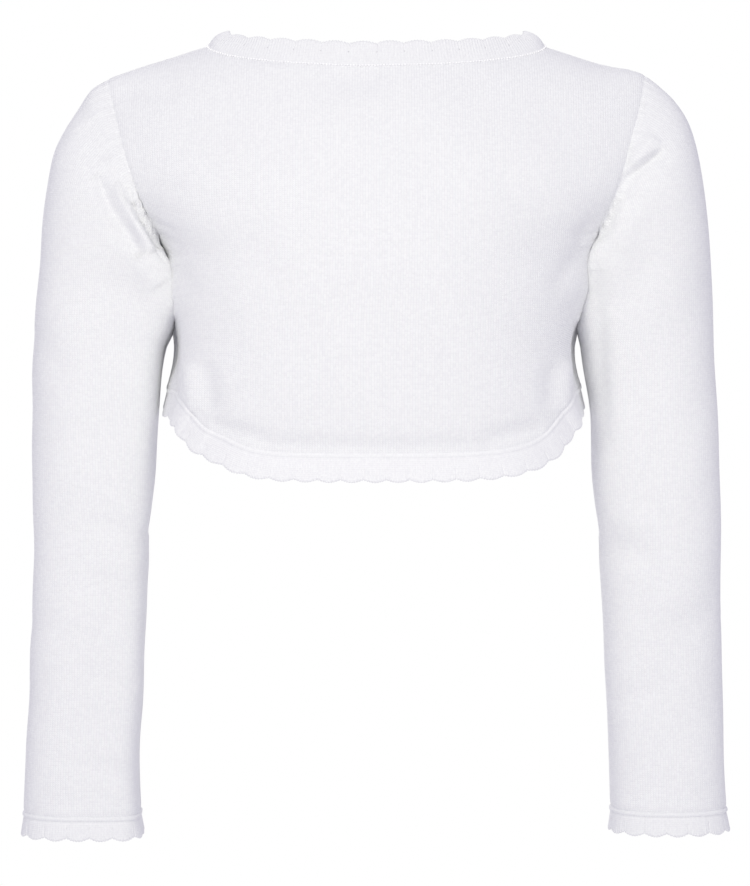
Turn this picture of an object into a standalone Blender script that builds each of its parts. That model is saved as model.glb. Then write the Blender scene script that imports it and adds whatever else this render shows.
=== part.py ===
"""Knitted shrug: a cropped open-fronted cardigan in fine cotton jersey, worn shape.

Metres, +Z up. The origin is midway between the high shoulder points, where the
wearer's shoulders hold the garment. +X is the wearer's left, -Y is the front.
Every piece is a closed wall of cloth, and seams keep SEAM_GAP between pieces.
"""

import bmesh
import bpy
import numpy as np

# ---- driving dimensions -------------------------------------------------------
WALL = 0.0015
SEAM_GAP = 0.0003

# shoulder line, seen from behind: a straight slope, rounded over at the middle
RIDGE_TOP = 0.0215
RIDGE_SLOPE = 0.345
RIDGE_ROUND = 0.040
SHOULDER_FALL = 0.150
SHOULDER_FALL_POWER = 1.5

# the tip of the right shoulder sits a little higher than the left one
LEFT_HEM_LIFT = 0.0038
LEFT_HEM_LIFT_FROM = 0.050
LEFT_HEM_LIFT_FULL = 0.078
LEFT_HEM_LIFT_EASE = 0.100
LEFT_HEM_LIFT_END = 0.114
LEFT_HEM_LIFT_TOP = -0.165
LEFT_HEM_LIFT_FADE = 0.030
RIGHT_TIP_LIFT = 0.0022
TIP_LIFT_START = 0.112
TIP_LIFT_REACH = 0.022

NECK_HALF_WIDTH = 0.0905
NECK_DROP = 0.0134
NECK_ROUNDNESS = 2.0
SHOULDER_POINT_X = 0.1435

OVAL_POWER = 2.5
OVAL_ASPECT = 0.68
OVAL_SAMPLES = 400

# torso sections: half width at the side, depth behind and before the shoulder line,
# and how far the middle of the section hangs to the wearer's left
BODY_COLUMNS = ("height", "half_width", "back_depth", "front_depth", "sway")
BODY_SECTIONS = (
    (0.030, 0.1520, 0.060, 0.054, 0.0000),
    (-0.020, 0.1515, 0.068, 0.060, 0.0000),
    (-0.055, 0.1500, 0.074, 0.066, 0.0000),
    (-0.075, 0.1415, 0.076, 0.068, 0.0000),
    (-0.095, 0.1250, 0.077, 0.068, 0.0000),
    (-0.1125, 0.1105, 0.077, 0.068, 0.0000),
    (-0.130, 0.1092, 0.076, 0.067, 0.0004),
    (-0.150, 0.1081, 0.075, 0.066, 0.0010),
    (-0.168, 0.1090, 0.074, 0.065, 0.0012),
    (-0.178, 0.1110, 0.0735, 0.0645, 0.0012),
    (-0.187, 0.1121, 0.073, 0.064, 0.0012),
    (-0.222, 0.1140, 0.071, 0.062, 0.0012),
)
UNDERARM_Z = -0.1125

# armhole seen from behind and from the front: distance from the centre at a height
ARMHOLE_COLUMNS = ("height", "back_x", "front_x")
ARMHOLE = (
    (-0.0260, 0.1422, 0.1415),
    (-0.0360, 0.1399, 0.1380),
    (-0.0490, 0.1362, 0.1325),
    (-0.0625, 0.1327, 0.1275),
    (-0.0730, 0.1292, 0.1235),
    (-0.0825, 0.1262, 0.1205),
    (-0.0925, 0.1213, 0.1175),
    (-0.1025, 0.1157, 0.1143),
    (-0.1125, 0.1105, 0.1105),
)

# hem seam of the back, rounded up towards the side: distance from the centre, height
HEM_COLUMNS = ("x", "height")
HEM = (
    (0.0000, -0.2174),
    (0.0300, -0.2172),
    (0.0530, -0.2164),
    (0.0698, -0.2145),
    (0.0841, -0.2101),
    (0.0908, -0.2058),
    (0.0947, -0.2012),
    (0.0986, -0.1959),
    (0.1031, -0.1894),
)
HEM_SIDE_Z = -0.1817

# rounded front edge, from the high shoulder point to the side: centre distance, height
FRONT_EDGE_COLUMNS = ("x", "height")
FRONT_EDGE = (
    (0.0835, -0.0080),
    (0.0745, -0.0270),
    (0.0620, -0.0480),
    (0.0510, -0.0690),
    (0.0445, -0.0900),
    (0.0450, -0.1110),
    (0.0525, -0.1290),
    (0.0655, -0.1440),
    (0.0820, -0.1560),
    (0.0960, -0.1655),
)
FRONT_CORNER_ROW = 7

# sleeve rings: crest point, underarm point, half depth front to back, middle of the ring
SLEEVE_COLUMNS = ("crest_x", "crest_z", "under_x", "under_z", "half_depth", "middle_y")
LEFT_SLEEVE = (
    (0.1435, -0.0170, 0.1108, -0.1125, 0.0300, 0.0000),
    (0.1525, -0.0225, 0.1118, -0.1165, 0.0310, 0.0000),
    (0.1598, -0.0334, 0.1120, -0.1210, 0.0318, 0.0000),
    (0.1666, -0.0441, 0.1118, -0.1255, 0.0324, 0.0000),
    (0.1722, -0.0560, 0.1108, -0.1300, 0.0326, 0.0000),
    (0.1757, -0.0710, 0.1104, -0.1350, 0.0325, 0.0000),
    (0.1787, -0.0910, 0.1101, -0.1410, 0.0320, -0.0003),
    (0.1812, -0.1160, 0.1108, -0.1505, 0.0310, -0.0010),
    (0.1833, -0.1480, 0.1142, -0.1680, 0.0297, -0.0020),
    (0.1845, -0.1860, 0.1172, -0.1940, 0.0283, -0.0030),
    (0.1848, -0.2250, 0.1192, -0.2270, 0.0270, -0.0042),
    (0.1842, -0.2640, 0.1228, -0.2640, 0.0260, -0.0057),
    (0.1845, -0.3000, 0.1233, -0.3000, 0.0252, -0.0077),
    (0.1868, -0.3390, 0.1254, -0.3390, 0.0245, -0.0105),
    (0.1895, -0.3800, 0.1284, -0.3800, 0.0237, -0.0137),
    (0.1907, -0.4100, 0.1276, -0.4100, 0.0232, -0.0163),
)
RIGHT_SLEEVE = (
    (0.1435, -0.0170, 0.1108, -0.1125, 0.0300, 0.0000),
    (0.1514, -0.0220, 0.1116, -0.1165, 0.0310, 0.0000),
    (0.1595, -0.0290, 0.1114, -0.1210, 0.0318, 0.0000),
    (0.1664, -0.0392, 0.1108, -0.1255, 0.0324, 0.0000),
    (0.1711, -0.0518, 0.1100, -0.1300, 0.0326, 0.0000),
    (0.1742, -0.0670, 0.1093, -0.1350, 0.0325, 0.0000),
    (0.1765, -0.0880, 0.1087, -0.1410, 0.0320, -0.0003),
    (0.1790, -0.1140, 0.1085, -0.1505, 0.0310, -0.0010),
    (0.1808, -0.1480, 0.1104, -0.1680, 0.0297, -0.0020),
    (0.1824, -0.1870, 0.1140, -0.1950, 0.0283, -0.0030),
    (0.1839, -0.2260, 0.1158, -0.2280, 0.0270, -0.0042),
    (0.1853, -0.2640, 0.1200, -0.2640, 0.0260, -0.0057),
    (0.1849, -0.3000, 0.1211, -0.3000, 0.0252, -0.0077),
    (0.1861, -0.3390, 0.1227, -0.3390, 0.0245, -0.0105),
    (0.1874, -0.3780, 0.1259, -0.3780, 0.0237, -0.0135),
    (0.1888, -0.4075, 0.1266, -0.4075, 0.0232, -0.0160),
)

# the sleeve is one cut piece of cloth; its solid is parted in two at this ring
SLEEVE_PART_RING = 13

# rings over which the sleeve eases from the armhole's outline to an oval
ROWS_TO_ROUND = 6.0

# folds as straight lines seen from behind (+1) or from the front (-1): their two ends,
# half width, and height (a ridge is positive, a trough negative)
FOLD_COLUMNS = ("face", "x1", "z1", "x2", "z2", "half_width", "height")
LEFT_SLEEVE_FOLDS = (
    (1, 0.1465, -0.0720, 0.1130, -0.1140, 0.0055, -0.0020),
    (1, 0.1375, -0.0710, 0.1150, -0.1120, 0.0050, 0.0026),
    (1, 0.1570, -0.0400, 0.1420, -0.0580, 0.0110, -0.0018),
    (1, 0.1270, -0.1180, 0.1170, -0.1340, 0.0065, 0.0016),
    (1, 0.1215, -0.2630, 0.1480, -0.2540, 0.0080, -0.0014),
    (-1, 0.1390, -0.0720, 0.1160, -0.1130, 0.0050, 0.0026),
    (-1, 0.1500, -0.0740, 0.1140, -0.1190, 0.0065, -0.0020),
    (-1, 0.1230, -0.2620, 0.1560, -0.2480, 0.0090, -0.0018),
)
RIGHT_SLEEVE_FOLDS = (
    (1, 0.1540, -0.0550, 0.1320, -0.0695, 0.0045, -0.0022),
    (1, 0.1440, -0.0690, 0.1140, -0.1215, 0.0055, -0.0022),
    (1, 0.1310, -0.0780, 0.1170, -0.1060, 0.0050, 0.0020),
    (1, 0.1450, -0.0830, 0.1240, -0.1220, 0.0065, 0.0014),
    (1, 0.1200, -0.2660, 0.1480, -0.2730, 0.0080, -0.0014),
    (-1, 0.1390, -0.0700, 0.1160, -0.1130, 0.0050, 0.0026),
    (-1, 0.1520, -0.0760, 0.1150, -0.1210, 0.0065, -0.0020),
    (-1, 0.1190, -0.2600, 0.1540, -0.2460, 0.0090, -0.0018),
)
FOLD_FADE = 0.008

# scalloped bands: width, scallop depth, scallops, seam ridge width and height
NECKBAND = dict(width=0.0147, depth=0.0014, scallops=14, ridge_width=0.0, ridge_height=0.0)
FRONT_BAND = dict(width=0.0140, depth=0.0018, scallops=22, ridge_width=0.0027, ridge_height=0.0007)
HEM_BAND = dict(width=0.0152, depth=0.0018, scallops=24, ridge_width=0.0027, ridge_height=0.0008)
CUFF = dict(width=0.0130, depth=0.0018, scallops=15, ridge_width=0.0027, ridge_height=0.0009)
# how far the neckband stands up at the middle of the neck and at the shoulder, and how
# far it rolls over outwards where it crosses the shoulder
NECK_STAND = 0.45
SHOULDER_STAND = 0.05
NECK_STAND_FADE = 0.045
SHOULDER_ROLL = 0.0020
SHOULDER_ROLL_REACH = 0.018
HEM_FLARE = 0.06
SIDE_FLARE = 0.02
SIDE_FLARE_REACH = 0.035
CUFF_FLARE = 0.16

# mesh density
NECK_COLUMNS = 8
SHOULDER_COLUMNS = 4
FRONT_COLUMNS = 8
ARMHOLE_ROWS = 13
SIDE_ROWS = 7
SLEEVE_RINGS = 24
SCALLOP_STEPS = 5
EDGE_BLENDS = 2
CURVE_SAMPLES = 300

COTTON_COLOR = (0.87, 0.88, 0.90, 1.0)
RIB_COLOR = (0.90, 0.91, 0.92, 1.0)
KNIT_ROUGHNESS = 0.9


# ---- small mathematics --------------------------------------------------------
def column(table, names, name):
    return np.array([row[names.index(name)] for row in table])


def smooth_through(stations, values, at):
    """A smooth curve through a table's rows, with slopes from each row's neighbours."""
    slopes = np.gradient(values, stations)
    at = np.clip(at, stations[0], stations[-1])
    left = np.clip(np.searchsorted(stations, at, side="right") - 1, 0, len(stations) - 2)
    step = stations[left + 1] - stations[left]
    t = (at - stations[left]) / step
    rise = t * t * (3.0 - 2.0 * t)
    leave = t * (1.0 - t) ** 2 * step * slopes[left]
    arrive = t * t * (t - 1.0) * step * slopes[left + 1]
    return values[left] * (1.0 - rise) + values[left + 1] * rise + leave + arrive


def unit(vectors):
    return vectors / np.maximum(np.linalg.norm(vectors, axis=-1, keepdims=True), 1e-12)


def lengths_along(points):
    steps = np.linalg.norm(np.diff(points, axis=0), axis=1)
    return np.concatenate([[0.0], np.cumsum(steps)])


def at_lengths(points, values, lengths):
    """Values of a polyline's points, read at lengths measured along it."""
    along = lengths_along(points)
    return np.stack([np.interp(lengths, along, values[:, k]) for k in range(values.shape[1])], 1)


def grid_normals(grid, wrap=False):
    """Unit normals of a grid of points, pointing away from the garment's inside."""
    down = np.gradient(grid, axis=0)
    if wrap:
        across = np.roll(grid, -1, axis=1) - np.roll(grid, 1, axis=1)
    else:
        across = np.gradient(grid, axis=1)
    return unit(np.cross(across, down))


# ---- the torso as a surface ---------------------------------------------------
def oval_table():
    """A quarter of the torso's oval section, by its fraction of arc from the middle."""
    turn = np.linspace(0.0, np.pi / 2.0, OVAL_SAMPLES)
    x = np.sin(turn)
    y = (1.0 - x ** OVAL_POWER) ** (1.0 / OVAL_POWER)
    arc = lengths_along(np.stack([x, y * OVAL_ASPECT], 1))
    return arc / arc[-1], x, y


OVAL_ARC, OVAL_X, OVAL_Y = oval_table()


def body_value(name, height):
    order = slice(None, None, -1)
    stations = column(BODY_SECTIONS, BODY_COLUMNS, "height")[order]
    return smooth_through(stations, column(BODY_SECTIONS, BODY_COLUMNS, name)[order], height)


def ridge_height(x):
    return RIDGE_TOP - RIDGE_SLOPE * (np.hypot(x, RIDGE_ROUND) - RIDGE_ROUND)


def arc_at(x, height):
    """Fraction of the quarter section at a distance from the centre."""
    return np.interp(x / body_value("half_width", height), OVAL_X, OVAL_ARC)


def left_hem_lift(x, height):
    """How much higher the left of the hem sits, fading out above it and at both ends."""
    span = (LEFT_HEM_LIFT_FROM, LEFT_HEM_LIFT_FULL, LEFT_HEM_LIFT_EASE, LEFT_HEM_LIFT_END)
    along = np.interp(x, span, (0.0, 1.0, 1.0, 0.0))
    down = np.clip((LEFT_HEM_LIFT_TOP - height) / LEFT_HEM_LIFT_FADE, 0.0, 1.0)
    return LEFT_HEM_LIFT * along ** 2 * down ** 2


def body_point(arc, height, face, side):
    """A point of the torso's outer surface; face is +1 behind and -1 in front."""
    x = body_value("half_width", height) * np.interp(arc, OVAL_ARC, OVAL_X)
    below_ridge = np.clip(ridge_height(x) - height, 0.0, SHOULDER_FALL)
    fall = np.sqrt(1.0 - (1.0 - below_ridge / SHOULDER_FALL) ** SHOULDER_FALL_POWER)
    depth = body_value("back_depth" if face > 0 else "front_depth", height)
    y = depth * fall * np.interp(arc, OVAL_ARC, OVAL_Y) + SEAM_GAP / 2.0
    towards_tip = np.clip((x - TIP_LIFT_START) / TIP_LIFT_REACH, 0.0, 1.0)
    near_ridge = np.exp(-(below_ridge / TIP_LIFT_REACH) ** 2)
    lift = RIGHT_TIP_LIFT * towards_tip ** 2 * near_ridge if side < 0 else left_hem_lift(x, height)
    return np.stack([side * x + body_value("sway", height), face * y, height + lift], -1)


def even_pattern_line(x, height, face, count):
    """A line drawn on the torso, as evenly spaced pattern points (arc, height)."""
    pattern = np.stack([arc_at(x, height), height], 1)
    return even_spacing(pattern, face, count)


def even_spacing(pattern, face, count):
    points = body_point(pattern[:, 0], pattern[:, 1], face, 1)
    total = lengths_along(points)[-1]
    return at_lengths(points, pattern, np.linspace(0.0, total, count + 1))


def coons_grid(top, bottom, inner, outer):
    """Fills the pattern between four edges; rows run down, columns run outwards."""
    u = np.linspace(0.0, 1.0, len(top))[None, :, None]
    v = np.linspace(0.0, 1.0, len(inner))[:, None, None]
    across = inner[:, None] * (1.0 - u) + outer[:, None] * u
    down = top[None] * (1.0 - v) + bottom[None] * v
    corners = (top[0] * (1.0 - u) + top[-1] * u) * (1.0 - v)
    corners = corners + (bottom[0] * (1.0 - u) + bottom[-1] * u) * v
    return across + down - corners


def shoulder_line(count):
    x = np.linspace(NECK_HALF_WIDTH, SHOULDER_POINT_X, CURVE_SAMPLES)
    return even_pattern_line(x, ridge_height(x), 1, count)


def outer_line(face):
    """Armhole from the shoulder point to the underarm, then the side down to the hem."""
    tip = (ridge_height(SHOULDER_POINT_X), SHOULDER_POINT_X)
    heights = np.append(tip[0], column(ARMHOLE, ARMHOLE_COLUMNS, "height"))
    name = "back_x" if face > 0 else "front_x"
    xs = np.append(tip[1], column(ARMHOLE, ARMHOLE_COLUMNS, name))
    height = np.linspace(tip[0], UNDERARM_Z, CURVE_SAMPLES)
    x = smooth_through(heights[::-1], xs[::-1], height)
    armhole = even_pattern_line(x, height, face, ARMHOLE_ROWS)
    side_height = np.linspace(UNDERARM_Z, HEM_SIDE_Z, SIDE_ROWS + 1)
    side = np.stack([np.ones(SIDE_ROWS + 1), side_height], 1)
    armhole[-1] = side[0]
    return np.concatenate([armhole, side[1:]])


def hem_pattern():
    """Hem seam from the middle of the back to the side, as pattern points."""
    heights = column(HEM, HEM_COLUMNS, "height")
    arcs = np.append(arc_at(column(HEM, HEM_COLUMNS, "x"), heights), 1.0)
    heights = np.append(heights, HEM_SIDE_Z)
    fine = np.linspace(0.0, 1.0, CURVE_SAMPLES)
    return np.stack([fine, smooth_through(arcs, heights, fine)], 1)


def back_grid(side):
    """Half of the back, from its middle to one armhole and side."""
    x = NECK_HALF_WIDTH * np.sin(np.linspace(0.0, np.pi / 2.0, CURVE_SAMPLES))
    drop = np.sqrt(np.clip(1.0 - (x / NECK_HALF_WIDTH) ** NECK_ROUNDNESS, 0.0, None))
    neck = even_pattern_line(x, ridge_height(NECK_HALF_WIDTH) - NECK_DROP * drop, 1, NECK_COLUMNS)
    top = np.concatenate([neck, shoulder_line(SHOULDER_COLUMNS)[1:]])
    bottom = even_spacing(hem_pattern(), 1, len(top) - 1)
    outer = outer_line(1)
    middle = np.stack([np.zeros(CURVE_SAMPLES), np.linspace(top[0, 1], bottom[0, 1], CURVE_SAMPLES)], 1)
    inner = even_spacing(middle, 1, len(outer) - 1)
    pattern = coons_grid(top, bottom, inner, outer)
    return body_point(pattern[..., 0], pattern[..., 1], 1, side)


def front_edge_pattern():
    """The whole front edge as pattern points, and the length of its upper part."""
    xs = np.concatenate([[NECK_HALF_WIDTH], column(FRONT_EDGE, FRONT_EDGE_COLUMNS, "x")])
    heights = np.concatenate([[ridge_height(NECK_HALF_WIDTH)],
                              column(FRONT_EDGE, FRONT_EDGE_COLUMNS, "height")])
    arcs = np.append(arc_at(xs, heights), 1.0)
    heights = np.append(heights, HEM_SIDE_Z)
    stations = lengths_along(body_point(arcs, heights, -1, 1))
    fine = np.linspace(0.0, stations[-1], CURVE_SAMPLES)
    pattern = np.stack([smooth_through(stations, arcs, fine),
                        smooth_through(stations, heights, fine)], 1)
    corner = np.searchsorted(fine, stations[FRONT_CORNER_ROW + 1])
    return pattern, corner


def front_grid(side):
    """One front, from its rounded edge to the armhole and side."""
    top = shoulder_line(FRONT_COLUMNS)
    outer = outer_line(-1)
    edge, corner = front_edge_pattern()
    inner = even_spacing(edge[:corner + 1], -1, len(outer) - 1)
    bottom = even_spacing(edge[corner:], -1, FRONT_COLUMNS)
    pattern = coons_grid(top, bottom, inner, outer)
    return body_point(pattern[..., 0], pattern[..., 1], -1, side)


# ---- the sleeves --------------------------------------------------------------
def fold_relief(points, folds, side, middle_y):
    """How far each point moves out for the folds that cross it."""
    relief = np.zeros(points.shape[:-1])
    for row in folds:
        fold = dict(zip(FOLD_COLUMNS, row))
        start = np.array([fold["x1"], fold["z1"]])
        run = np.array([fold["x2"], fold["z2"]]) - start
        flat = np.stack([side * points[..., 0], points[..., 2]], -1) - start
        along = np.clip((flat @ run) / (run @ run), 0.0, 1.0)
        distance = np.linalg.norm(flat - along[..., None] * run, axis=-1)
        facing = np.clip(0.5 + fold["face"] * (points[..., 1] - middle_y) / FOLD_FADE, 0.0, 1.0)
        relief += facing * fold["height"] * np.exp(-(distance / fold["half_width"]) ** 2)
    return relief


def sleeve_grid(table, folds, loop, side):
    """Rings from the armhole loop to the wrist; each ring starts at its crest."""
    rows = np.arange(len(table), dtype=float)
    at = np.linspace(0.0, rows[-1], SLEEVE_RINGS + 1)
    ring = {name: smooth_through(rows, column(table, SLEEVE_COLUMNS, name), at)[:, None]
            for name in SLEEVE_COLUMNS}
    turn = 2.0 * np.pi * np.arange(loop.shape[0]) / loop.shape[0]
    swing = (1.0 + np.cos(turn)) / 2.0
    x = ring["under_x"] + (ring["crest_x"] - ring["under_x"]) * swing
    z = ring["under_z"] + (ring["crest_z"] - ring["under_z"]) * swing
    depth = ring["half_depth"] * np.sin(turn)
    middle_z = (ring["crest_z"] + ring["under_z"]) / 2.0
    lean = np.gradient(ring["middle_y"][:, 0], middle_z[:, 0])[:, None]
    grid = np.stack([side * x, depth + ring["middle_y"], z - lean * depth], -1)
    settle = np.clip(1.0 - at / ROWS_TO_ROUND, 0.0, 1.0)[:, None, None]
    grid = grid + (loop - grid[0]) * settle * settle
    relief = fold_relief(grid, folds, side, ring["middle_y"])
    start = np.clip(at, 0.0, 1.0)[:, None]
    return grid - grid_normals(grid, wrap=True) * (side * relief * start)[..., None]


# ---- bands --------------------------------------------------------------------
def band_body(points, away, normals, rolls, band, closed):
    """A scalloped band set on a seam: sections across the wall, one for each step."""
    ring_points = np.concatenate([points, points[:1]]) if closed else points
    ring_away = np.concatenate([away, away[:1]]) if closed else away
    ring_normals = np.concatenate([normals, normals[:1]]) if closed else normals
    total = lengths_along(ring_points)[-1]
    count = band["scallops"] * SCALLOP_STEPS
    trim = 0.0 if closed else SEAM_GAP / 2.0
    place = np.linspace(trim, total - trim, count + 1)
    if closed:
        place = place[:-1]
    base = at_lengths(ring_points, ring_points, place)
    out = unit(at_lengths(ring_points, ring_away, place))
    normal = unit(at_lengths(ring_points, ring_normals, place))
    normal = unit(normal - out * np.sum(normal * out, axis=1, keepdims=True))
    roll = at_lengths(ring_points, rolls[:, None], place) if not closed else 0.0
    lobe = np.abs(np.sin(np.pi * np.arange(len(place)) / SCALLOP_STEPS))
    reach = (band["width"] - band["depth"] * (1.0 - lobe))[:, None]
    base = base + out * SEAM_GAP
    inside = normal * WALL
    ridge = band["ridge_width"]
    middle = base + out * band["width"] / 2.0 + normal * roll
    if ridge:
        crest = base + out * ridge / 2.0 + normal * band["ridge_height"]
        outer = [base, crest, base + out * ridge, middle]
    else:
        outer = [base, middle]
    edge = base + out * reach
    section = outer + [edge, edge - inside, middle - inside, base - inside]
    return np.stack(section, 1)


def blend_neighbours(vectors, passes):
    for _ in range(passes):
        middle = (vectors[:-2] + 2.0 * vectors[1:-1] + vectors[2:]) / 4.0
        vectors = np.concatenate([vectors[:1], middle, vectors[-1:]])
    return vectors


def edge_frames(back, front, side):
    """One side's edge from the middle of the neck round the front to the middle of the hem."""
    hps = NECK_COLUMNS
    back_normals = side * grid_normals(back)
    front_normals = -side * grid_normals(front)
    neck = (back[0, :hps + 1], back_normals[0, :hps + 1])
    upper = (front[:, 0], front_normals[:, 0])
    lower = (front[-1, 1:], front_normals[-1, 1:])
    hem = (back[-1, ::-1], back_normals[-1, ::-1])
    points = np.concatenate([part[0] for part in (neck, upper, lower, hem)])
    normals = np.concatenate([part[1] for part in (neck, upper, lower, hem)])
    normals = unit(blend_neighbours(normals, EDGE_BLENDS))
    marks = np.cumsum([len(neck[0]), len(upper[0]) + len(lower[0])])
    tangents = unit(np.gradient(points, axis=0))
    away = unit(blend_neighbours(side * np.cross(tangents, normals), EDGE_BLENDS))
    along = lengths_along(points)
    shoulder = along[marks[0]]
    hem_corner = along[marks[1]]
    to_shoulder = np.clip(along / shoulder, 0.0, 1.0) ** 2
    stand = NECK_STAND + (SHOULDER_STAND - NECK_STAND) * to_shoulder
    stand = stand * np.exp(-(np.clip(along - shoulder, 0.0, None) / NECK_STAND_FADE) ** 2)
    rolls = SHOULDER_ROLL * np.exp(-((along - shoulder) / SHOULDER_ROLL_REACH) ** 2)
    at_side = SIDE_FLARE * np.exp(-((along - hem_corner) / SIDE_FLARE_REACH) ** 2)
    flare = at_side + np.where(along > shoulder + NECK_STAND_FADE, HEM_FLARE, 0.0)
    away = away + stand[:, None] * np.array([0.0, 0.0, 1.0]) + flare[:, None] * normals
    for mark in marks:
        for frame in (away, normals):
            frame[mark - 1:mark + 1] = frame[mark - 1:mark + 1].mean(axis=0)
    return points, unit(away), unit(normals), rolls, marks


# ---- making objects -----------------------------------------------------------
def knit_material(name, color):
    material = bpy.data.materials.new(name)
    material.use_nodes = True
    shader = material.node_tree.nodes["Principled BSDF"]
    shader.inputs["Base Color"].default_value = color
    shader.inputs["Roughness"].default_value = KNIT_ROUGHNESS
    shader.inputs["Metallic"].default_value = 0.0
    return material


def add_object(name, vertices, faces, color):
    mesh = bpy.data.meshes.new(name)
    mesh.from_pydata([tuple(v) for v in vertices], [], faces)
    shell = bmesh.new()
    shell.from_mesh(mesh)
    bmesh.ops.recalc_face_normals(shell, faces=shell.faces)
    shell.to_mesh(mesh)
    shell.free()
    mesh.shade_smooth()
    mesh.materials.append(knit_material(name + "_knit", color))
    piece = bpy.data.objects.new(name, mesh)
    bpy.context.scene.collection.objects.link(piece)
    return piece


def add_swept(name, sections, closed, color):
    """Joins sections of equal point counts into a closed body."""
    stations, around = sections.shape[:2]
    faces = []
    for i in range(stations if closed else stations - 1):
        ahead = (i + 1) % stations
        for j in range(around):
            beside = (j + 1) % around
            faces.append((i * around + j, i * around + beside, ahead * around + beside, ahead * around + j))
    if not closed:
        faces.append(tuple(reversed(range(around))))
        faces.append(tuple((stations - 1) * around + j for j in range(around)))
    return add_object(name, sections.reshape(-1, 3), faces, color)


def add_wall(name, outer, inner, color):
    """A panel of cloth: each row of the grid is one section of the wall."""
    sections = np.concatenate([outer, inner[:, ::-1]], axis=1)
    stations, around = sections.shape[:2]
    half = around // 2
    faces = []
    for i in range(stations - 1):
        for j in range(around):
            beside = (j + 1) % around
            under = (i + 1) * around
            faces.append((i * around + j, i * around + beside, under + beside, under + j))
    last = (stations - 1) * around
    for j in range(half - 1):
        under = around - 1 - j
        faces.append((j, under, under - 1, j + 1))
        faces.append((last + j, last + j + 1, last + under - 1, last + under))
    return add_object(name, sections.reshape(-1, 3), faces, color)


def inner_of(outer, normals, face):
    inner = outer - normals * WALL
    if face:
        inner[..., 1] = face * np.maximum(face * inner[..., 1], SEAM_GAP / 2.0)
    return inner


def add_tube(name, outer, inner, gap):
    """A length of sleeve between two rings, its first ring moved on by a gap."""
    outer, inner = outer.copy(), inner.copy()
    for rings in (outer, inner):
        rings[0] += unit(rings[1] - rings[0]) * gap
    rings = np.concatenate([outer, inner[::-1]])
    return add_swept(name, np.swapaxes(rings, 0, 1), True, COTTON_COLOR)


def make_sleeve(name, table, folds, backs, fronts, side):
    """A sleeve and its cuff, hung on the armhole edges of the back and the front."""
    back, back_inner = backs
    front, front_inner = fronts
    rows = ARMHOLE_ROWS

    def loop_of(back_edge, front_edge):
        loop = np.concatenate([back_edge[:rows + 1], front_edge[rows - 1:0:-1]])
        loop[0, 1] = 0.0
        loop[rows, 1] = 0.0
        return loop

    loop = loop_of(back[:, -1], front[:, -1])
    loop_inner = loop_of(back_inner[:, -1], front_inner[:, -1])
    crest_to_under = loop[rows] - loop[0]
    leave = unit(np.array([-side * crest_to_under[2], 0.0, side * crest_to_under[0]]))
    leave = leave * SEAM_GAP
    outer = sleeve_grid(table, folds, loop + leave, side)
    normals = -side * grid_normals(outer, wrap=True)
    inner = outer - normals * WALL
    inner[0] = loop_inner + leave
    below = slice(SLEEVE_PART_RING, None)
    above = slice(0, SLEEVE_PART_RING + 1)
    add_tube(name + "_upper_sleeve", outer[above], inner[above], 0.0)
    add_tube(name + "_lower_sleeve", outer[below], inner[below], SEAM_GAP)

    wrist = outer[-1]
    away = unit(wrist - outer[-2])
    away = unit(away.mean(axis=0) + CUFF_FLARE * normals[-1])
    cuff = band_body(wrist, away, normals[-1], None, CUFF, True)
    add_swept(name + "_cuff", cuff, True, RIB_COLOR)


def make_bands(halves):
    """The band round all the garment's open edges, in its four lengths."""
    neck, hem = [], []
    for name, side in (("left", 1), ("right", -1)):
        back, front = halves[side]
        *frames, marks = edge_frames(back, front, side)
        front_path = [part[marks[0]:marks[1]] for part in frames]
        add_swept(name + "_front_band", band_body(*front_path, FRONT_BAND, False), False, RIB_COLOR)
        neck.append([part[:marks[0]] for part in frames])
        hem.append([part[marks[1]:] for part in frames])
    neck_path = [np.concatenate([left[::-1], right[1:]]) for left, right in zip(*neck)]
    hem_path = [np.concatenate([left, right[-2::-1]]) for left, right in zip(*hem)]
    add_swept("neckband", band_body(*neck_path, NECKBAND, False), False, RIB_COLOR)
    add_swept("hem_band", band_body(*hem_path, HEM_BAND, False), False, RIB_COLOR)


def make_shrug():
    halves = {}
    for side in (1, -1):
        halves[side] = (back_grid(side), front_grid(side))
    left, right = halves[1][0], halves[-1][0]
    back = np.concatenate([right[:, :0:-1], left], axis=1)
    back_inner = inner_of(back, grid_normals(back), 1)
    add_wall("back", back, back_inner, COTTON_COLOR)
    middle = right.shape[1] - 1
    for name, side, table, folds in (("left", 1, LEFT_SLEEVE, LEFT_SLEEVE_FOLDS),
                                     ("right", -1, RIGHT_SLEEVE, RIGHT_SLEEVE_FOLDS)):
        front = halves[side][1]
        front_inner = inner_of(front, -side * grid_normals(front), -1)
        add_wall(name + "_front", front, front_inner, COTTON_COLOR)
        outwards = slice(middle, None) if side > 0 else slice(middle, None, -1)
        backs = (back[:, outwards], back_inner[:, outwards])
        make_sleeve(name, table, folds, backs, (front, front_inner), side)
    make_bands(halves)


def clear_scene():
    for item in list(bpy.data.objects):
        bpy.data.objects.remove(item, do_unlink=True)


clear_scene()
make_shrug()
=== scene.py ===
"""Finish of a knitted shrug: fine white cotton jersey with ribbed, scalloped bands.

Laid out as a Blender add-on and run as a script. Metres, +Z up, +X the wearer's left,
-Y the front. The origin is midway between the high shoulder points.
"""

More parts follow.
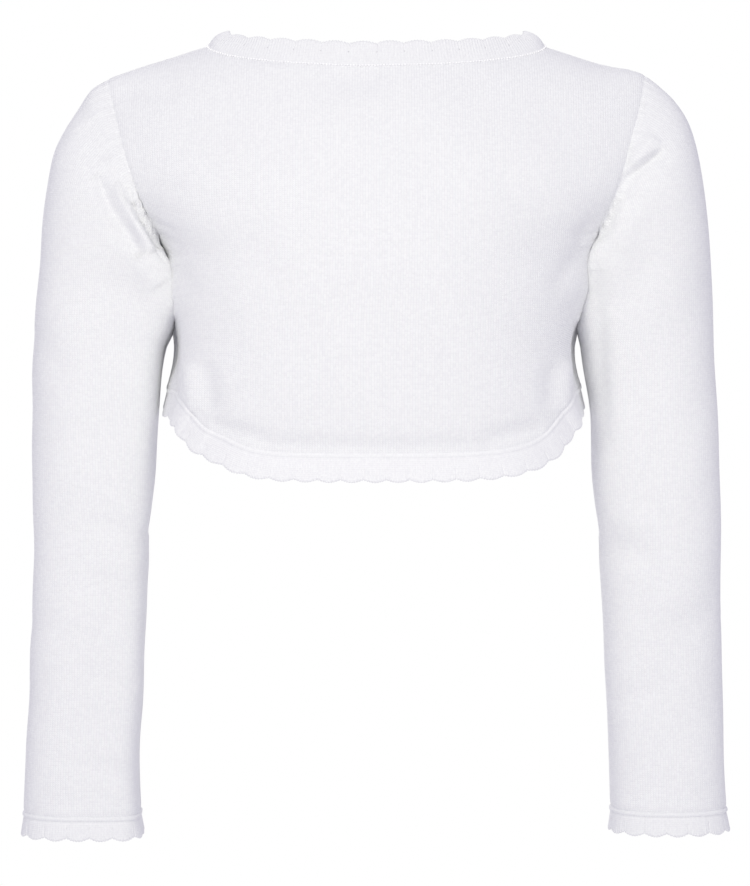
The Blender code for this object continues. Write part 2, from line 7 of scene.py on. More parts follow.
import bmesh
import bpy
import numpy as np
from bpy.props import FloatProperty, FloatVectorProperty, IntProperty, PointerProperty
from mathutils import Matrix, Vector


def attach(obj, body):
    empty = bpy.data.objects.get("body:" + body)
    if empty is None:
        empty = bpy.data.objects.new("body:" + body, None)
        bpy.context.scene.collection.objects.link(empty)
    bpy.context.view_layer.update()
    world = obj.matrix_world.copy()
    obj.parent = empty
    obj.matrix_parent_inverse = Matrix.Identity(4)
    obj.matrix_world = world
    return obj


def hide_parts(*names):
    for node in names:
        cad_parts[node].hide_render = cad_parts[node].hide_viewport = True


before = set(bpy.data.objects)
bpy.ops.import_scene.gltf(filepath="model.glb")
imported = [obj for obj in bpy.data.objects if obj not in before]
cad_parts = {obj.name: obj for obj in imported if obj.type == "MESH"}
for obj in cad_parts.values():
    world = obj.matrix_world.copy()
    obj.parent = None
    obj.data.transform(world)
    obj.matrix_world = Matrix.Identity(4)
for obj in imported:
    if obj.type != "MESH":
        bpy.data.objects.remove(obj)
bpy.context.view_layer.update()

bl_info = {
    "name": "Knitted Shrug",
    "version": (1, 0, 0),
    "blender": (4, 5, 0),
    "location": "3D View > Sidebar > Shrug",
    "description": "Builds a hollow knitted shrug with scalloped bands around its frame",
    "category": "Object",
}

BODY = "root"
KNIT_UV = "knit"
EYELET_ATTRIBUTE = "eyelet_distance"

# ---- the cut, in metres: the solids' tables, up to 2 mm fuller below the underarms ----
# The shoulder ridge falls away from the neck, and the torso rounds over below it
RIDGE_TOP = 0.0215
RIDGE_SLOPE = 0.345
RIDGE_ROUND = 0.040
SHOULDER_FALL = 0.150
SHOULDER_FALL_POWER = 1.5
NECK_HALF_WIDTH = 0.0905
NECK_DROP = 0.0134
NECK_ROUNDNESS = 2.0
SHOULDER_POINT_X = 0.1435

# The torso's section is a flattened oval
OVAL_POWER = 2.5
OVAL_ASPECT = 0.68
OVAL_SAMPLES = 400
UNDERARM_Z = -0.1125

# The hem sits a little higher on the left, and the right shoulder tip a little higher
LEFT_HEM_LIFT = 0.0038
LEFT_HEM_LIFT_FROM = 0.050
LEFT_HEM_LIFT_FULL = 0.078
LEFT_HEM_LIFT_EASE = 0.100
LEFT_HEM_LIFT_END = 0.114
LEFT_HEM_LIFT_TOP = -0.165
LEFT_HEM_LIFT_FADE = 0.030
RIGHT_TIP_LIFT = 0.0022
TIP_LIFT_START = 0.112
TIP_LIFT_REACH = 0.022

HEM_SIDE_Z = -0.1817
HEM_COLUMNS = ("x", "height")
HEM = (
    (0.0000, -0.2174),
    (0.0300, -0.2172),
    (0.0530, -0.2164),
    (0.0698, -0.2145),
    (0.0841, -0.2101),
    (0.0908, -0.2058),
    (0.0947, -0.2012),
    (0.0986, -0.1959),
    (0.1031, -0.1894),
)

BODY_COLUMNS = ("height", "half_width", "back_depth", "front_depth", "sway")
BODY_SECTIONS = (
    (0.030, 0.1520, 0.060, 0.054, 0.0000),
    (-0.020, 0.1515, 0.068, 0.060, 0.0000),
    (-0.055, 0.1500, 0.074, 0.066, 0.0000),
    (-0.075, 0.1415, 0.076, 0.068, 0.0000),
    (-0.095, 0.1250, 0.077, 0.068, 0.0000),
    (-0.1125, 0.1105, 0.077, 0.068, 0.0000),
    (-0.130, 0.1106, 0.076, 0.067, 0.0004),
    (-0.150, 0.1086, 0.075, 0.066, 0.0010),
    (-0.168, 0.1090, 0.074, 0.065, 0.0012),
    (-0.178, 0.1110, 0.0735, 0.0645, 0.0012),
    (-0.187, 0.1121, 0.073, 0.064, 0.0012),
    (-0.222, 0.1140, 0.071, 0.062, 0.0012),
)
ARMHOLE_COLUMNS = ("height", "back_x", "front_x")
ARMHOLE = (
    (-0.0260, 0.1422, 0.1415),
    (-0.0360, 0.1399, 0.1380),
    (-0.0490, 0.1362, 0.1325),
    (-0.0625, 0.1327, 0.1275),
    (-0.0730, 0.1292, 0.1235),
    (-0.0825, 0.1262, 0.1205),
    (-0.0925, 0.1213, 0.1175),
    (-0.1025, 0.1157, 0.1143),
    (-0.1125, 0.1105, 0.1105),
)
FRONT_EDGE_COLUMNS = ("x", "height")
FRONT_EDGE = (
    (0.0835, -0.0080),
    (0.0745, -0.0270),
    (0.0620, -0.0480),
    (0.0510, -0.0690),
    (0.0445, -0.0900),
    (0.0450, -0.1110),
    (0.0525, -0.1290),
    (0.0655, -0.1440),
    (0.0820, -0.1560),
    (0.0960, -0.1655),
)
FRONT_CORNER_ROW = 7
SLEEVE_COLUMNS = ("crest_x", "crest_z", "under_x", "under_z", "half_depth", "middle_y")
LEFT_SLEEVE = (
    (0.1435, -0.0170, 0.1108, -0.1125, 0.0300, 0.0000),
    (0.1525, -0.0225, 0.1111, -0.1165, 0.0310, 0.0000),
    (0.1598, -0.0334, 0.1102, -0.1210, 0.0318, 0.0000),
    (0.1666, -0.0441, 0.1100, -0.1255, 0.0324, 0.0000),
    (0.1722, -0.0560, 0.1098, -0.1300, 0.0326, 0.0000),
    (0.1757, -0.0710, 0.1098, -0.1350, 0.0325, 0.0000),
    (0.1787, -0.0910, 0.1099, -0.1410, 0.0320, -0.0003),
    (0.1812, -0.1160, 0.1108, -0.1505, 0.0310, -0.0010),
    (0.1833, -0.1480, 0.1142, -0.1680, 0.0297, -0.0020),
    (0.1845, -0.1860, 0.1172, -0.1940, 0.0283, -0.0030),
    (0.1848, -0.2250, 0.1192, -0.2270, 0.0270, -0.0042),
    (0.1842, -0.2640, 0.1228, -0.2640, 0.0260, -0.0057),
    (0.1845, -0.3000, 0.1233, -0.3000, 0.0252, -0.0077),
    (0.1868, -0.3390, 0.1254, -0.3390, 0.0245, -0.0105),
    (0.1895, -0.3800, 0.1284, -0.3800, 0.0237, -0.0137),
    (0.1907, -0.4100, 0.1276, -0.4100, 0.0232, -0.0163),
)
RIGHT_SLEEVE = (
    (0.1435, -0.0170, 0.1108, -0.1125, 0.0300, 0.0000),
    (0.1514, -0.0220, 0.1109, -0.1165, 0.0310, 0.0000),
    (0.1595, -0.0290, 0.1098, -0.1210, 0.0318, 0.0000),
    (0.1664, -0.0392, 0.1093, -0.1255, 0.0324, 0.0000),
    (0.1711, -0.0518, 0.1092, -0.1300, 0.0326, 0.0000),
    (0.1742, -0.0670, 0.1088, -0.1350, 0.0325, 0.0000),
    (0.1765, -0.0880, 0.1087, -0.1410, 0.0320, -0.0003),
    (0.1790, -0.1140, 0.1085, -0.1505, 0.0310, -0.0010),
    (0.1808, -0.1480, 0.1104, -0.1680, 0.0297, -0.0020),
    (0.1824, -0.1870, 0.1140, -0.1950, 0.0283, -0.0030),
    (0.1839, -0.2260, 0.1158, -0.2280, 0.0270, -0.0042),
    (0.1853, -0.2640, 0.1200, -0.2640, 0.0260, -0.0057),
    (0.1849, -0.3000, 0.1211, -0.3000, 0.0252, -0.0077),
    (0.1861, -0.3390, 0.1227, -0.3390, 0.0245, -0.0105),
    (0.1874, -0.3780, 0.1259, -0.3780, 0.0237, -0.0135),
    (0.1888, -0.4075, 0.1266, -0.4075, 0.0232, -0.0160),
)
# Roundness of a sleeve's section: 2 is an oval, more is squarer. The inner half is
# squarer, and passes from its upper to its lower value between two rows of the table
LEFT_FULLNESS = (5.5, 4.0)
RIGHT_FULLNESS = (3.2, 2.4)
FULLNESS_ROWS = (6.5, 9.0)
OUTER_FULLNESS = 2.3
ROWS_TO_ROUND = 6.0

# ---- where body and sleeve press on each other below the armhole ---------------------
# Where they meet, and how much fuller each is there, so that the cloths touch
PRESS_COLUMNS = ("height", "contact", "body_widen", "sleeve_widen")
LEFT_PRESS = (
    (-0.1025, 0.1157, 0.0000, 0.0000),
    (-0.1065, 0.1137, 0.0008, 0.0008),
    (-0.1125, 0.1106, 0.0018, 0.0018),
    (-0.1165, 0.1093, 0.0034, 0.0044),
    (-0.1310, 0.1090, 0.0030, 0.0050),
    (-0.1385, 0.1062, 0.0030, 0.0080),
    (-0.1470, 0.1086, 0.0010, 0.0030),
    (-0.1600, 0.1100, 0.0000, 0.0000),
)
RIGHT_PRESS = (
    (-0.0980, 0.1190, 0.0000, 0.0000),
    (-0.1025, 0.1168, 0.0020, 0.0012),
    (-0.1065, 0.1150, 0.0050, 0.0046),
    (-0.1125, 0.1130, 0.0064, 0.0052),
    (-0.1165, 0.1122, 0.0062, 0.0042),
    (-0.1310, 0.1125, 0.0050, 0.0010),
    (-0.1390, 0.1097, 0.0030, 0.0020),
    (-0.1470, 0.1078, 0.0020, 0.0015),
    (-0.1600, 0.1070, 0.0000, 0.0000),
)
PRESS_TOP = -0.1065
PRESS_LOW = -0.1480
PRESS_APART = 0.05
PRESS_OVERLAP = 0.0014
PRESS_ROUND = 0.0005
PRESS_FADE_ABOVE = 0.004
PRESS_FADE_BELOW = 0.010
BODY_PRESS_POWER = 6
SLEEVE_PRESS_POWER = 4
PRESS_START_ROWS = 0.5

# ---- creases, listed one by one -------------------------------------------------------
# Which face (+1 behind, -1 in front), the two ends seen from there, how far the middle
# bows outwards, half width, height, and how much wider one flank is than the other
FOLD_COLUMNS = ("face", "x1", "z1", "x2", "z2", "bow", "half_width", "height", "lean")
LEFT_SLEEVE_FOLDS = (
    (1, 0.1482, -0.0700, 0.1385, -0.0925, 0.0000, 0.0036, -0.0036, 0.0),
    (1, 0.1390, -0.0915, 0.1240, -0.1120, 0.0008, 0.0044, -0.0036, 0.0),
    (1, 0.1372, -0.0745, 0.1190, -0.1110, 0.0008, 0.0032, 0.0034, 0.0),
    (1, 0.1322, -0.0727, 0.1290, -0.0864, 0.0000, 0.0020, -0.0024, 0.0),
    (1, 0.1290, -0.0855, 0.1230, -0.0955, 0.0000, 0.0024, -0.0036, 0.0),
    (1, 0.1236, -0.0945, 0.1150, -0.1085, 0.0000, 0.0028, -0.0026, 0.0),
    (1, 0.1262, -0.0792, 0.1242, -0.0802, 0.0000, 0.0013, 0.0009, 0.0),
    (1, 0.1256, -0.0838, 0.1234, -0.0850, 0.0000, 0.0014, 0.0011, 0.0),
    (1, 0.1243, -0.0884, 0.1220, -0.0898, 0.0000, 0.0013, 0.0011, 0.0),
    (1, 0.1530, -0.0400, 0.1400, -0.0600, 0.0000, 0.0090, -0.0019, 0.0),
    (1, 0.1280, -0.1130, 0.1150, -0.1290, 0.0020, 0.0060, 0.0016, 0.0),
    (1, 0.1440, -0.1220, 0.1220, -0.1400, 0.0030, 0.0070, -0.0009, 0.0),
    (1, 0.1180, -0.1085, 0.1135, -0.1150, 0.0000, 0.0009, -0.0004, 0.0),
    (1, 0.1165, -0.1095, 0.1122, -0.1165, 0.0000, 0.0009, -0.0004, 0.0),
    (1, 0.1830, -0.1500, 0.1640, -0.1780, 0.0000, 0.0090, -0.0010, 0.0),
    (1, 0.1215, -0.2630, 0.1480, -0.2540, 0.0000, 0.0065, -0.0018, 0.0),
    (1, 0.1260, -0.2800, 0.1520, -0.2760, 0.0000, 0.0060, 0.0009, 0.0),
    (1, 0.1850, -0.3050, 0.1600, -0.3180, 0.0000, 0.0080, -0.0010, 0.0),
    (1, 0.1280, -0.3420, 0.1560, -0.3330, 0.0000, 0.0070, -0.0010, 0.0),
    (1, 0.1300, -0.3900, 0.1620, -0.3830, 0.0000, 0.0060, -0.0008, 0.0),
    (-1, 0.1400, -0.0710, 0.1180, -0.1060, 0.0010, 0.0030, 0.0029, 0.0),
    (-1, 0.1490, -0.0700, 0.1330, -0.1000, 0.0000, 0.0042, -0.0026, 0.0),
    (-1, 0.1290, -0.0850, 0.1110, -0.1125, 0.0004, 0.0022, -0.0030, 0.0),
    (-1, 0.1600, -0.0420, 0.1470, -0.0600, 0.0000, 0.0100, -0.0014, 0.0),
    (-1, 0.1230, -0.2620, 0.1560, -0.2480, 0.0020, 0.0075, -0.0024, 0.0),
    (-1, 0.1260, -0.2780, 0.1600, -0.2700, 0.0000, 0.0060, 0.0013, 0.0),
    (-1, 0.1310, -0.3450, 0.1640, -0.3320, 0.0000, 0.0080, -0.0012, 0.0),
)
RIGHT_SLEEVE_FOLDS = (
    (1, 0.1520, -0.0560, 0.1325, -0.0700, 0.0006, 0.0030, -0.0034, 0.5),
    (1, 0.1480, -0.0490, 0.1350, -0.0645, 0.0000, 0.0042, 0.0022, 0.0),
    (1, 0.1450, -0.0725, 0.1308, -0.0849, 0.0000, 0.0034, -0.0010, 0.0),
    (1, 0.1275, -0.0830, 0.1190, -0.1050, 0.0000, 0.0040, -0.0015, 0.0),
    (1, 0.1330, -0.0690, 0.1285, -0.0790, 0.0000, 0.0024, -0.0014, 0.0),
    (1, 0.1266, -0.0852, 0.1243, -0.0864, 0.0000, 0.0016, 0.0007, 0.0),
    (1, 0.1243, -0.0903, 0.1222, -0.0916, 0.0000, 0.0016, 0.0008, 0.0),
    (1, 0.1216, -0.0954, 0.1196, -0.0968, 0.0000, 0.0016, 0.0008, 0.0),
    (1, 0.1430, -0.0830, 0.1290, -0.1100, -0.0010, 0.0055, 0.0014, 0.0),
    (1, 0.1450, -0.1130, 0.1230, -0.1420, 0.0030, 0.0070, -0.0010, 0.0),
    (1, 0.1305, -0.0560, 0.1375, -0.0545, 0.0000, 0.0010, -0.0005, 0.0),
    (1, 0.1300, -0.0600, 0.1370, -0.0590, 0.0000, 0.0010, -0.0005, 0.0),
    (1, 0.1300, -0.0640, 0.1360, -0.0635, 0.0000, 0.0010, -0.0005, 0.0),
    (1, 0.1165, -0.1200, 0.1190, -0.2150, 0.0000, 0.0060, -0.0030, 0.0),
    (1, 0.1200, -0.2660, 0.1480, -0.2730, 0.0000, 0.0070, -0.0018, 0.0),
    (1, 0.1210, -0.2480, 0.1470, -0.2560, 0.0000, 0.0060, 0.0009, 0.0),
    (1, 0.1830, -0.3000, 0.1580, -0.3120, 0.0000, 0.0080, -0.0010, 0.0),
    (1, 0.1250, -0.3500, 0.1540, -0.3430, 0.0000, 0.0070, -0.0010, 0.0),
    (-1, 0.1390, -0.0700, 0.1180, -0.1060, 0.0010, 0.0032, 0.0029, 0.0),
    (-1, 0.1500, -0.0720, 0.1320, -0.1040, 0.0010, 0.0045, -0.0025, 0.0),
    (-1, 0.1285, -0.0850, 0.1110, -0.1125, 0.0004, 0.0023, -0.0026, 0.0),
    (-1, 0.1190, -0.2600, 0.1540, -0.2460, 0.0020, 0.0080, -0.0022, 0.0),
    (-1, 0.1230, -0.2760, 0.1560, -0.2690, 0.0000, 0.0060, 0.0012, 0.0),
    (-1, 0.1280, -0.3400, 0.1600, -0.3280, 0.0000, 0.0080, -0.0012, 0.0),
)
LEFT_BODY_FOLDS = (
    (1, 0.1220, -0.0930, 0.1060, -0.1010, 0.0000, 0.0016, -0.0008, 0.0),
    (1, 0.1190, -0.0990, 0.1040, -0.1080, 0.0000, 0.0018, -0.0008, 0.0),
    (1, 0.1080, -0.1180, 0.0980, -0.1350, 0.0000, 0.0080, -0.0016, 0.0),
    (1, 0.1390, -0.0240, 0.1050, -0.0270, 0.0000, 0.0045, -0.0007, 0.0),
    (1, 0.0290, -0.0195, -0.0110, -0.0205, 0.0000, 0.0080, -0.0014, 0.0),
    (1, 0.0985, -0.1700, 0.0970, -0.1960, 0.0000, 0.0046, 0.0024, 0.0),
    (1, 0.1085, -0.1440, 0.1085, -0.1880, 0.0000, 0.0040, -0.0030, 0.0),
    (1, 0.0890, -0.1700, 0.0860, -0.1960, 0.0000, 0.0050, -0.0016, 0.0),
    (1, -0.0120, -0.2146, 0.0560, -0.2130, 0.0000, 0.0050, -0.0019, 0.0),
    (1, 0.0540, -0.2125, 0.0880, -0.2035, 0.0015, 0.0052, -0.0022, 0.0),
    (-1, 0.1160, -0.0940, 0.0960, -0.1120, 0.0000, 0.0050, -0.0014, 0.0),
    (-1, 0.1130, -0.1080, 0.0940, -0.1300, 0.0000, 0.0050, -0.0012, 0.0),
    (-1, 0.1280, -0.0420, 0.1000, -0.0500, 0.0000, 0.0060, -0.0009, 0.0),
    (-1, 0.0880, -0.0300, 0.0760, -0.0560, 0.0000, 0.0060, 0.0009, 0.0),
)
RIGHT_BODY_FOLDS = (
    (1, 0.1185, -0.0962, 0.1118, -0.1002, 0.0000, 0.0010, 0.0007, 0.0),
    (1, 0.1176, -0.1004, 0.1110, -0.1044, 0.0000, 0.0010, 0.0007, 0.0),
    (1, 0.1150, -0.1045, 0.1090, -0.1085, 0.0000, 0.0010, 0.0006, 0.0),
    (1, 0.1150, -0.0930, 0.1060, -0.1040, 0.0000, 0.0040, -0.0010, 0.0),
    (1, 0.1130, -0.1020, 0.0930, -0.1330, 0.0000, 0.0055, -0.0015, 0.0),
    (1, 0.1006, -0.1680, 0.1000, -0.1950, 0.0000, 0.0040, 0.0022, 0.0),
    (1, 0.1080, -0.1470, 0.1085, -0.1880, 0.0000, 0.0040, -0.0030, 0.0),
    (1, 0.0925, -0.1700, 0.0900, -0.1950, 0.0000, 0.0050, -0.0012, 0.0),
    (1, -0.0120, -0.2146, 0.0560, -0.2130, 0.0000, 0.0050, -0.0019, 0.0),
    (1, 0.0540, -0.2125, 0.0880, -0.2035, 0.0015, 0.0052, -0.0020, 0.0),
    (-1, 0.1150, -0.0960, 0.0940, -0.1100, 0.0000, 0.0050, -0.0015, 0.0),
    (-1, 0.1120, -0.1100, 0.0930, -0.1340, 0.0000, 0.0050, -0.0011, 0.0),
    (-1, 0.1260, -0.0440, 0.1020, -0.0530, 0.0000, 0.0060, -0.0009, 0.0),
    (-1, 0.0860, -0.0320, 0.0750, -0.0600, 0.0000, 0.0060, 0.0009, 0.0),
)
FOLD_FADE = 0.010
FOLD_HEIGHT_AT_END = 0.15
FOLD_HEIGHT_TO_MIDDLE = 0.85
FOLD_END_POWER = 3

# ---- seams --------------------------------------------------------------------------
SEAM_GAP = -0.00012
SEAM_DIP = 0.00060
SEAM_DIP_REACH = 0.0012
PUCKER_HEIGHT = 0.00022
PUCKER_PITCH = 0.0052
PUCKER_REACH = 0.0050
PUCKER_BEAT = 3.7
PUCKER_STEADY = 0.6
PUCKER_VARYING = 0.4
PUCKER_WANDER = 1.3

# How strongly each seam puckers, and its depth beside that of the armhole
SEAM_STYLES = {
    "armhole": (1.0, 1.0),
    "side": (0.3, 0.5),
    "hem": (0.4, 0.8),
    "top": (0.3, 0.6),
    "front_edge": (0.4, 0.8),
    "sleeve_head": (1.4, 1.0),
    "wrist": (0.4, 0.8),
}
SLEEVE_HEAD_RISE = 0.0004

# ---- broad unevenness of the hanging cloth --------------------------------------------
SAG_SIZES = (0.090, 0.062, 0.047, 0.033)
SAG_SHARE = 0.0042
SAG_LOWERING = 0.05
SAG_FADE = 0.004
SAG_AT_EDGE = 0.25
BODY_SAG_SEED = 11
SLEEVE_SAG_SEED = 23
SLEEVE_SAG_FADE = 0.006
SLEEVE_RELIEF_FADE = 0.0015

# ---- scalloped bands ----------------------------------------------------------------
# Width and scallop depth, scallops, ribs in each, height of the ridge along the seam,
# how far the lobes puff out, rib strength, how small the painted eyelet shade is, and which
# copy of the band colour: "hem" is painted lighter as painted light, "neck" darker as painted shade
BAND_COLUMNS = ("width", "depth", "scallops", "ribs", "ridge", "puff", "rib", "eyelet", "tone")
NECKBAND = dict(zip(BAND_COLUMNS, (0.0147, 0.0014, 14, 9, 0.0, 0.0002, 1.5, 1.0, "neck")))
FRONT_BAND = dict(zip(BAND_COLUMNS, (0.0140, 0.0018, 22, 9, 0.0007, 0.0004, 0.8, 1.3, "hem")))
HEM_BAND = dict(zip(BAND_COLUMNS, (0.0152, 0.0015, 27, 9, 0.0004, 0.0003, 0.6, 1.8, "hem")))
CUFF = dict(zip(BAND_COLUMNS, (0.0130, 0.0018, 15, 8, 0.0009, 0.0003, 0.7, 1.8, "neck")))
RIDGE_WIDTH = 0.0027
RIDGE_POWER = 0.8
RIDGE_FOOT = 0.25
RIDGE_FOOT_REACH = 0.0006
RIB_START_WITH_RIDGE = (0.9 * RIDGE_WIDTH, 0.003)
RIB_START_PLAIN = (0.0012, 0.002)
RIB_AT_SEAM = 0.55
RIB_GROWTH = 0.45
EDGE_THINNING = 0.35
EDGE_THINNING_FROM = 0.93
EDGE_THINNING_REACH = 0.07
EDGE_TIP = 0.0002
INNER_EDGE_INSET = 0.0001
INNER_TIP_LIFT = 0.2

# How the bands stand up or out from the cloth's edge
EDGE_BLENDS = 60
NECK_STAND = 0.45
SHOULDER_STAND = 0.05
NECK_STAND_FADE = 0.045
SHOULDER_ROLL = 0.0020
SHOULDER_ROLL_REACH = 0.018
FRONT_FLARE = 0.06
HEM_FLARE = 0.16
SIDE_FLARE = 0.02
SIDE_FLARE_REACH = 0.035
CUFF_FLARE = 0.16
CUFF_AIM_RINGS = 3

# The eyelet in each valley between two scallops, and the groove below it
EYELET_INSET = 0.0050
EYELET_RADIUS = 0.00040
EYELET_DEPTH = 0.0004
VALLEY_GROOVE = 0.00014
VALLEY_GROOVE_START = 0.001
VALLEY_GROOVE_WIDTH = 0.0005

# ---- stitches -----------------------------------------------------------------------
CHAIN_SINK = -0.0001
CHAIN_LIFT = 0.0004
CHAIN_FILL = 0.66
CHAIN_WIDTH = 0.00105
RIDGE_STITCH_LENGTH = 0.0019
RIDGE_STITCH_WIDTH = 0.00040
RIDGE_STITCH_SLANT = 0.95
RIDGE_STITCH_LIFT = 0.70
STITCH_EVENNESS = (0.86, 1.14)
STITCH_AIM = 0.0004

# ---- finish of the yarn ---------------------------------------------------------------
KNIT_ROUGHNESS = 0.88
KNIT_SPECULAR = 0.25
KNIT_SHEEN = 0.30
KNIT_SHEEN_ROUGHNESS = 0.5
KNIT_BUMP = 0.9
THREAD_ROUGHNESS = 0.7
THREAD_MOTTLE = 300.0
COTTON_MOTTLE = 38.0
FINE_MOTTLE = 900.0
YARN_FUZZ_SCALE = 2600.0
YARN_FUZZ_HEIGHT = 0.25
COLUMN_WANDER_SCALE = 420.0
COLUMN_WANDER = 0.28
LEG_ROUNDNESS = 0.6
LEG_SHARE = 0.15
CROWN_POWER = 2.5
CROWN_SHARE = 0.85
BEAD_SWING = 0.60
BEAD_FLOOR = 0.40
EYELET_MASK_RADIUS = 0.0005
EYELET_MASK_POWER = 0.7
# Mix of the painted stitch shade: a random tone per stitch, and a share by stitch height
STITCH_CHANCE = 0.15
COLUMN_CONTRAST = 0.26
COLUMN_BRIGHTNESS = 0.505
MOTTLE_DARKEST = 0.955
JERSEY_LEAN = 0.55
RIB_LEAN = 0.30
RIB_STITCH_WIDTH = 0.00070
RIB_STITCH_HEIGHT = 0.00100
RIB_RELIEF_SHARE = 0.4
# Painted shade in the eyelets, which are shallow dimples and are not cut through
EYELET_PAINTED_SHADE = (0.50, 0.49, 0.53, 1.0)
LINKING_DIM = (0.94, 0.94, 0.95, 1.0)
LINKING_BRIGHT = (0.985, 0.985, 0.99, 1.0)
SEWING_DIM = (0.84, 0.845, 0.86, 1.0)
SEWING_BRIGHT = (0.88, 0.885, 0.90, 1.0)

# ---- mesh density -------------------------------------------------------------------
NECK_COLUMNS = 56
SHOULDER_COLUMNS = 38
FRONT_COLUMNS = 64
ARMHOLE_ROWS = 90
SIDE_ROWS = 48
SLEEVE_RINGS = 230
STEPS_PER_RIB = 6
BAND_OUTER_ROWS = 24
BAND_INNER_ROWS = 5
CURVE_SAMPLES = 1200
CHART_ARCS = np.linspace(0.0, 1.0, 121)
CHART_HEIGHTS = np.linspace(-0.230, 0.030, 261)
SHARP_ANGLE = 1.05


# ---- stage: floor, lamps (place, size, power) and surround ----------------------------
FLOOR_SIZE = 7.0
FLOOR_COLOR = (0.95, 0.95, 0.95, 1.0)
FLOOR_ROUGHNESS = 0.95
SENSOR = 36.0
CLIP_START = 0.05
SKY_COLOR = (0.955, 0.926, 1.115, 1.0)
LAMP_COLOR = (1.0, 0.997, 0.84)
SOFTBOXES = (
    ("key", (-0.9, 2.2, 0.9), 1.2, 17.0),
    ("fill", (0.9, 2.2, 0.9), 1.2, 23.0),
    ("front", (0.3, -2.3, 0.9), 1.6, 31.0),
)
AIM = (0.0, 0.0, -0.2)

SIDES = (("left", 1), ("right", -1))


# ---- settings a user would change ---------------------------------------------------
class ShrugClothSettings(bpy.types.PropertyGroup):
    """Thickness, stitches and colours of the cotton jersey."""

    thickness: FloatProperty(name="Cloth thickness", description="Thickness of the jersey wall",
                             default=0.0011, min=0.0005, max=0.003, subtype="DISTANCE", unit="LENGTH")
    wale: FloatProperty(name="Stitch width", description="Distance between stitch columns",
                        default=0.00142, subtype="DISTANCE", unit="LENGTH")
    course: FloatProperty(name="Stitch height", description="Distance between stitch rows",
                          default=0.00115, subtype="DISTANCE", unit="LENGTH")
    relief: FloatProperty(name="Stitch relief", description="Depth of the stitches",
                          default=0.00018, subtype="DISTANCE", unit="LENGTH")
    jersey: FloatVectorProperty(name="Jersey colour", description="Colour of the cotton jersey",
                                default=(0.932, 0.944, 0.950), subtype="COLOR", size=3)
    # Painted shade: a darker, bluish colour mixed in between the stitches, where shade falls
    painted_stitch_shade: FloatVectorProperty(name="Stitch shade", description="Colour between the stitches",
                                default=(0.640, 0.632, 0.690), subtype="COLOR", size=3)
    # Painted shade: the neckband and the cuffs get this darker copy of the band yarn's colour
    band: FloatVectorProperty(name="Band colour", description="Colour of the ribbed bands",
                              default=(0.905, 0.916, 0.922), subtype="COLOR", size=3)
    # Painted light: the hem and front bands get this lighter copy of the band yarn's colour
    hem: FloatVectorProperty(name="Hem colour", description="Colour of the bands at hem and fronts",
                             default=(0.945, 0.954, 0.960), subtype="COLOR", size=3)


class ShrugBandSettings(bpy.types.PropertyGroup):
    """Ribs, teeth and stitches of the scalloped bands."""

    thickness: FloatProperty(name="Band thickness", description="Thickness of the ribbed bands",
                             default=0.0012, subtype="DISTANCE", unit="LENGTH")
    rib_height: FloatProperty(name="Rib height", description="How far the ribs stand out",
                              default=0.00019, subtype="DISTANCE", unit="LENGTH")
    tooth: FloatProperty(name="Edge tooth", description="How far each rib end passes the edge",
                         default=0.00038, subtype="DISTANCE", unit="LENGTH")
    chain_pitch: FloatProperty(name="Chain pitch", description="Length of one stitch of the neck seam",
                               default=0.00160, subtype="DISTANCE", unit="LENGTH")
    ridge_pitch: FloatProperty(name="Ridge pitch", description="Distance between the ridge's stitches",
                               default=0.00138, subtype="DISTANCE", unit="LENGTH")
    seed: IntProperty(name="Seed", description="Seed of the stitches' small unevenness", default=7)


class ShrugStageSettings(bpy.types.PropertyGroup):
    """Floor, light and camera."""

    floor_drop: FloatProperty(name="Floor height", description="Height of the floor",
                              default=-1.40, subtype="DISTANCE", unit="LENGTH")
    camera_distance: FloatProperty(name="Camera distance", description="Distance from the shoulders",
                                   default=2.2, subtype="DISTANCE", unit="LENGTH")
    frame_height: FloatProperty(name="Frame height", description="Height that the picture covers",
                                default=0.475, subtype="DISTANCE", unit="LENGTH")
    eye_height: FloatProperty(name="Eye height", description="Height of the camera",
                              default=-0.2117, subtype="DISTANCE", unit="LENGTH")
    eye_side: FloatProperty(name="Eye side", description="Sideways place of the camera",
                            default=0.0008, subtype="DISTANCE", unit="LENGTH")
    sky: FloatProperty(name="Sky light", description="Strength of the light from all round",
                       default=0.56)


# ---- small mathematics --------------------------------------------------------------
def column(table, names, name):
    """One named column of a table."""
    return np.array([row[names.index(name)] for row in table])


def smooth_through(stations, values, at):
    """A smooth curve through a table's rows, with slopes from each row's neighbours."""
    slopes = np.gradient(values, stations)
    at = np.clip(at, stations[0], stations[-1])
    left = np.clip(np.searchsorted(stations, at, side="right") - 1, 0, len(stations) - 2)
    step = stations[left + 1] - stations[left]
    t = (at - stations[left]) / step
    rise = t * t * (3.0 - 2.0 * t)
    leave = t * (1.0 - t) ** 2 * step * slopes[left]
    arrive = t * t * (t - 1.0) * step * slopes[left + 1]
    return values[left] * (1.0 - rise) + values[left + 1] * rise + leave + arrive


def unit(vectors):
    return vectors / np.maximum(np.linalg.norm(vectors, axis=-1, keepdims=True), 1e-12)


def lengths_along(points):
    """Length along a polyline from its first point to each point."""
    steps = np.linalg.norm(np.diff(points, axis=0), axis=1)
    return np.concatenate([[0.0], np.cumsum(steps)])


def at_lengths(points, values, lengths):
    """Values of a polyline's points, read at lengths measured along it."""
    along = lengths_along(points)
    return np.stack([np.interp(lengths, along, values[:, k]) for k in range(values.shape[1])], 1)


def grid_lengths(grid, axis):
    """Lengths along a grid's rows (axis 1) or columns (axis 0), from its first point."""
    steps = np.linalg.norm(np.diff(grid, axis=axis), axis=-1)
    start = np.zeros_like(np.take(steps, [0], axis=axis))
    return np.concatenate([start, np.cumsum(steps, axis=axis)], axis=axis)


def grid_normals(grid, wrap=False):
    """Unit normals of a grid of points."""
    down = np.gradient(grid, axis=0)
    if wrap:
        across = np.roll(grid, -1, axis=1) - np.roll(grid, 1, axis=1)
    else:
        across = np.gradient(grid, axis=1)
    return unit(np.cross(across, down))


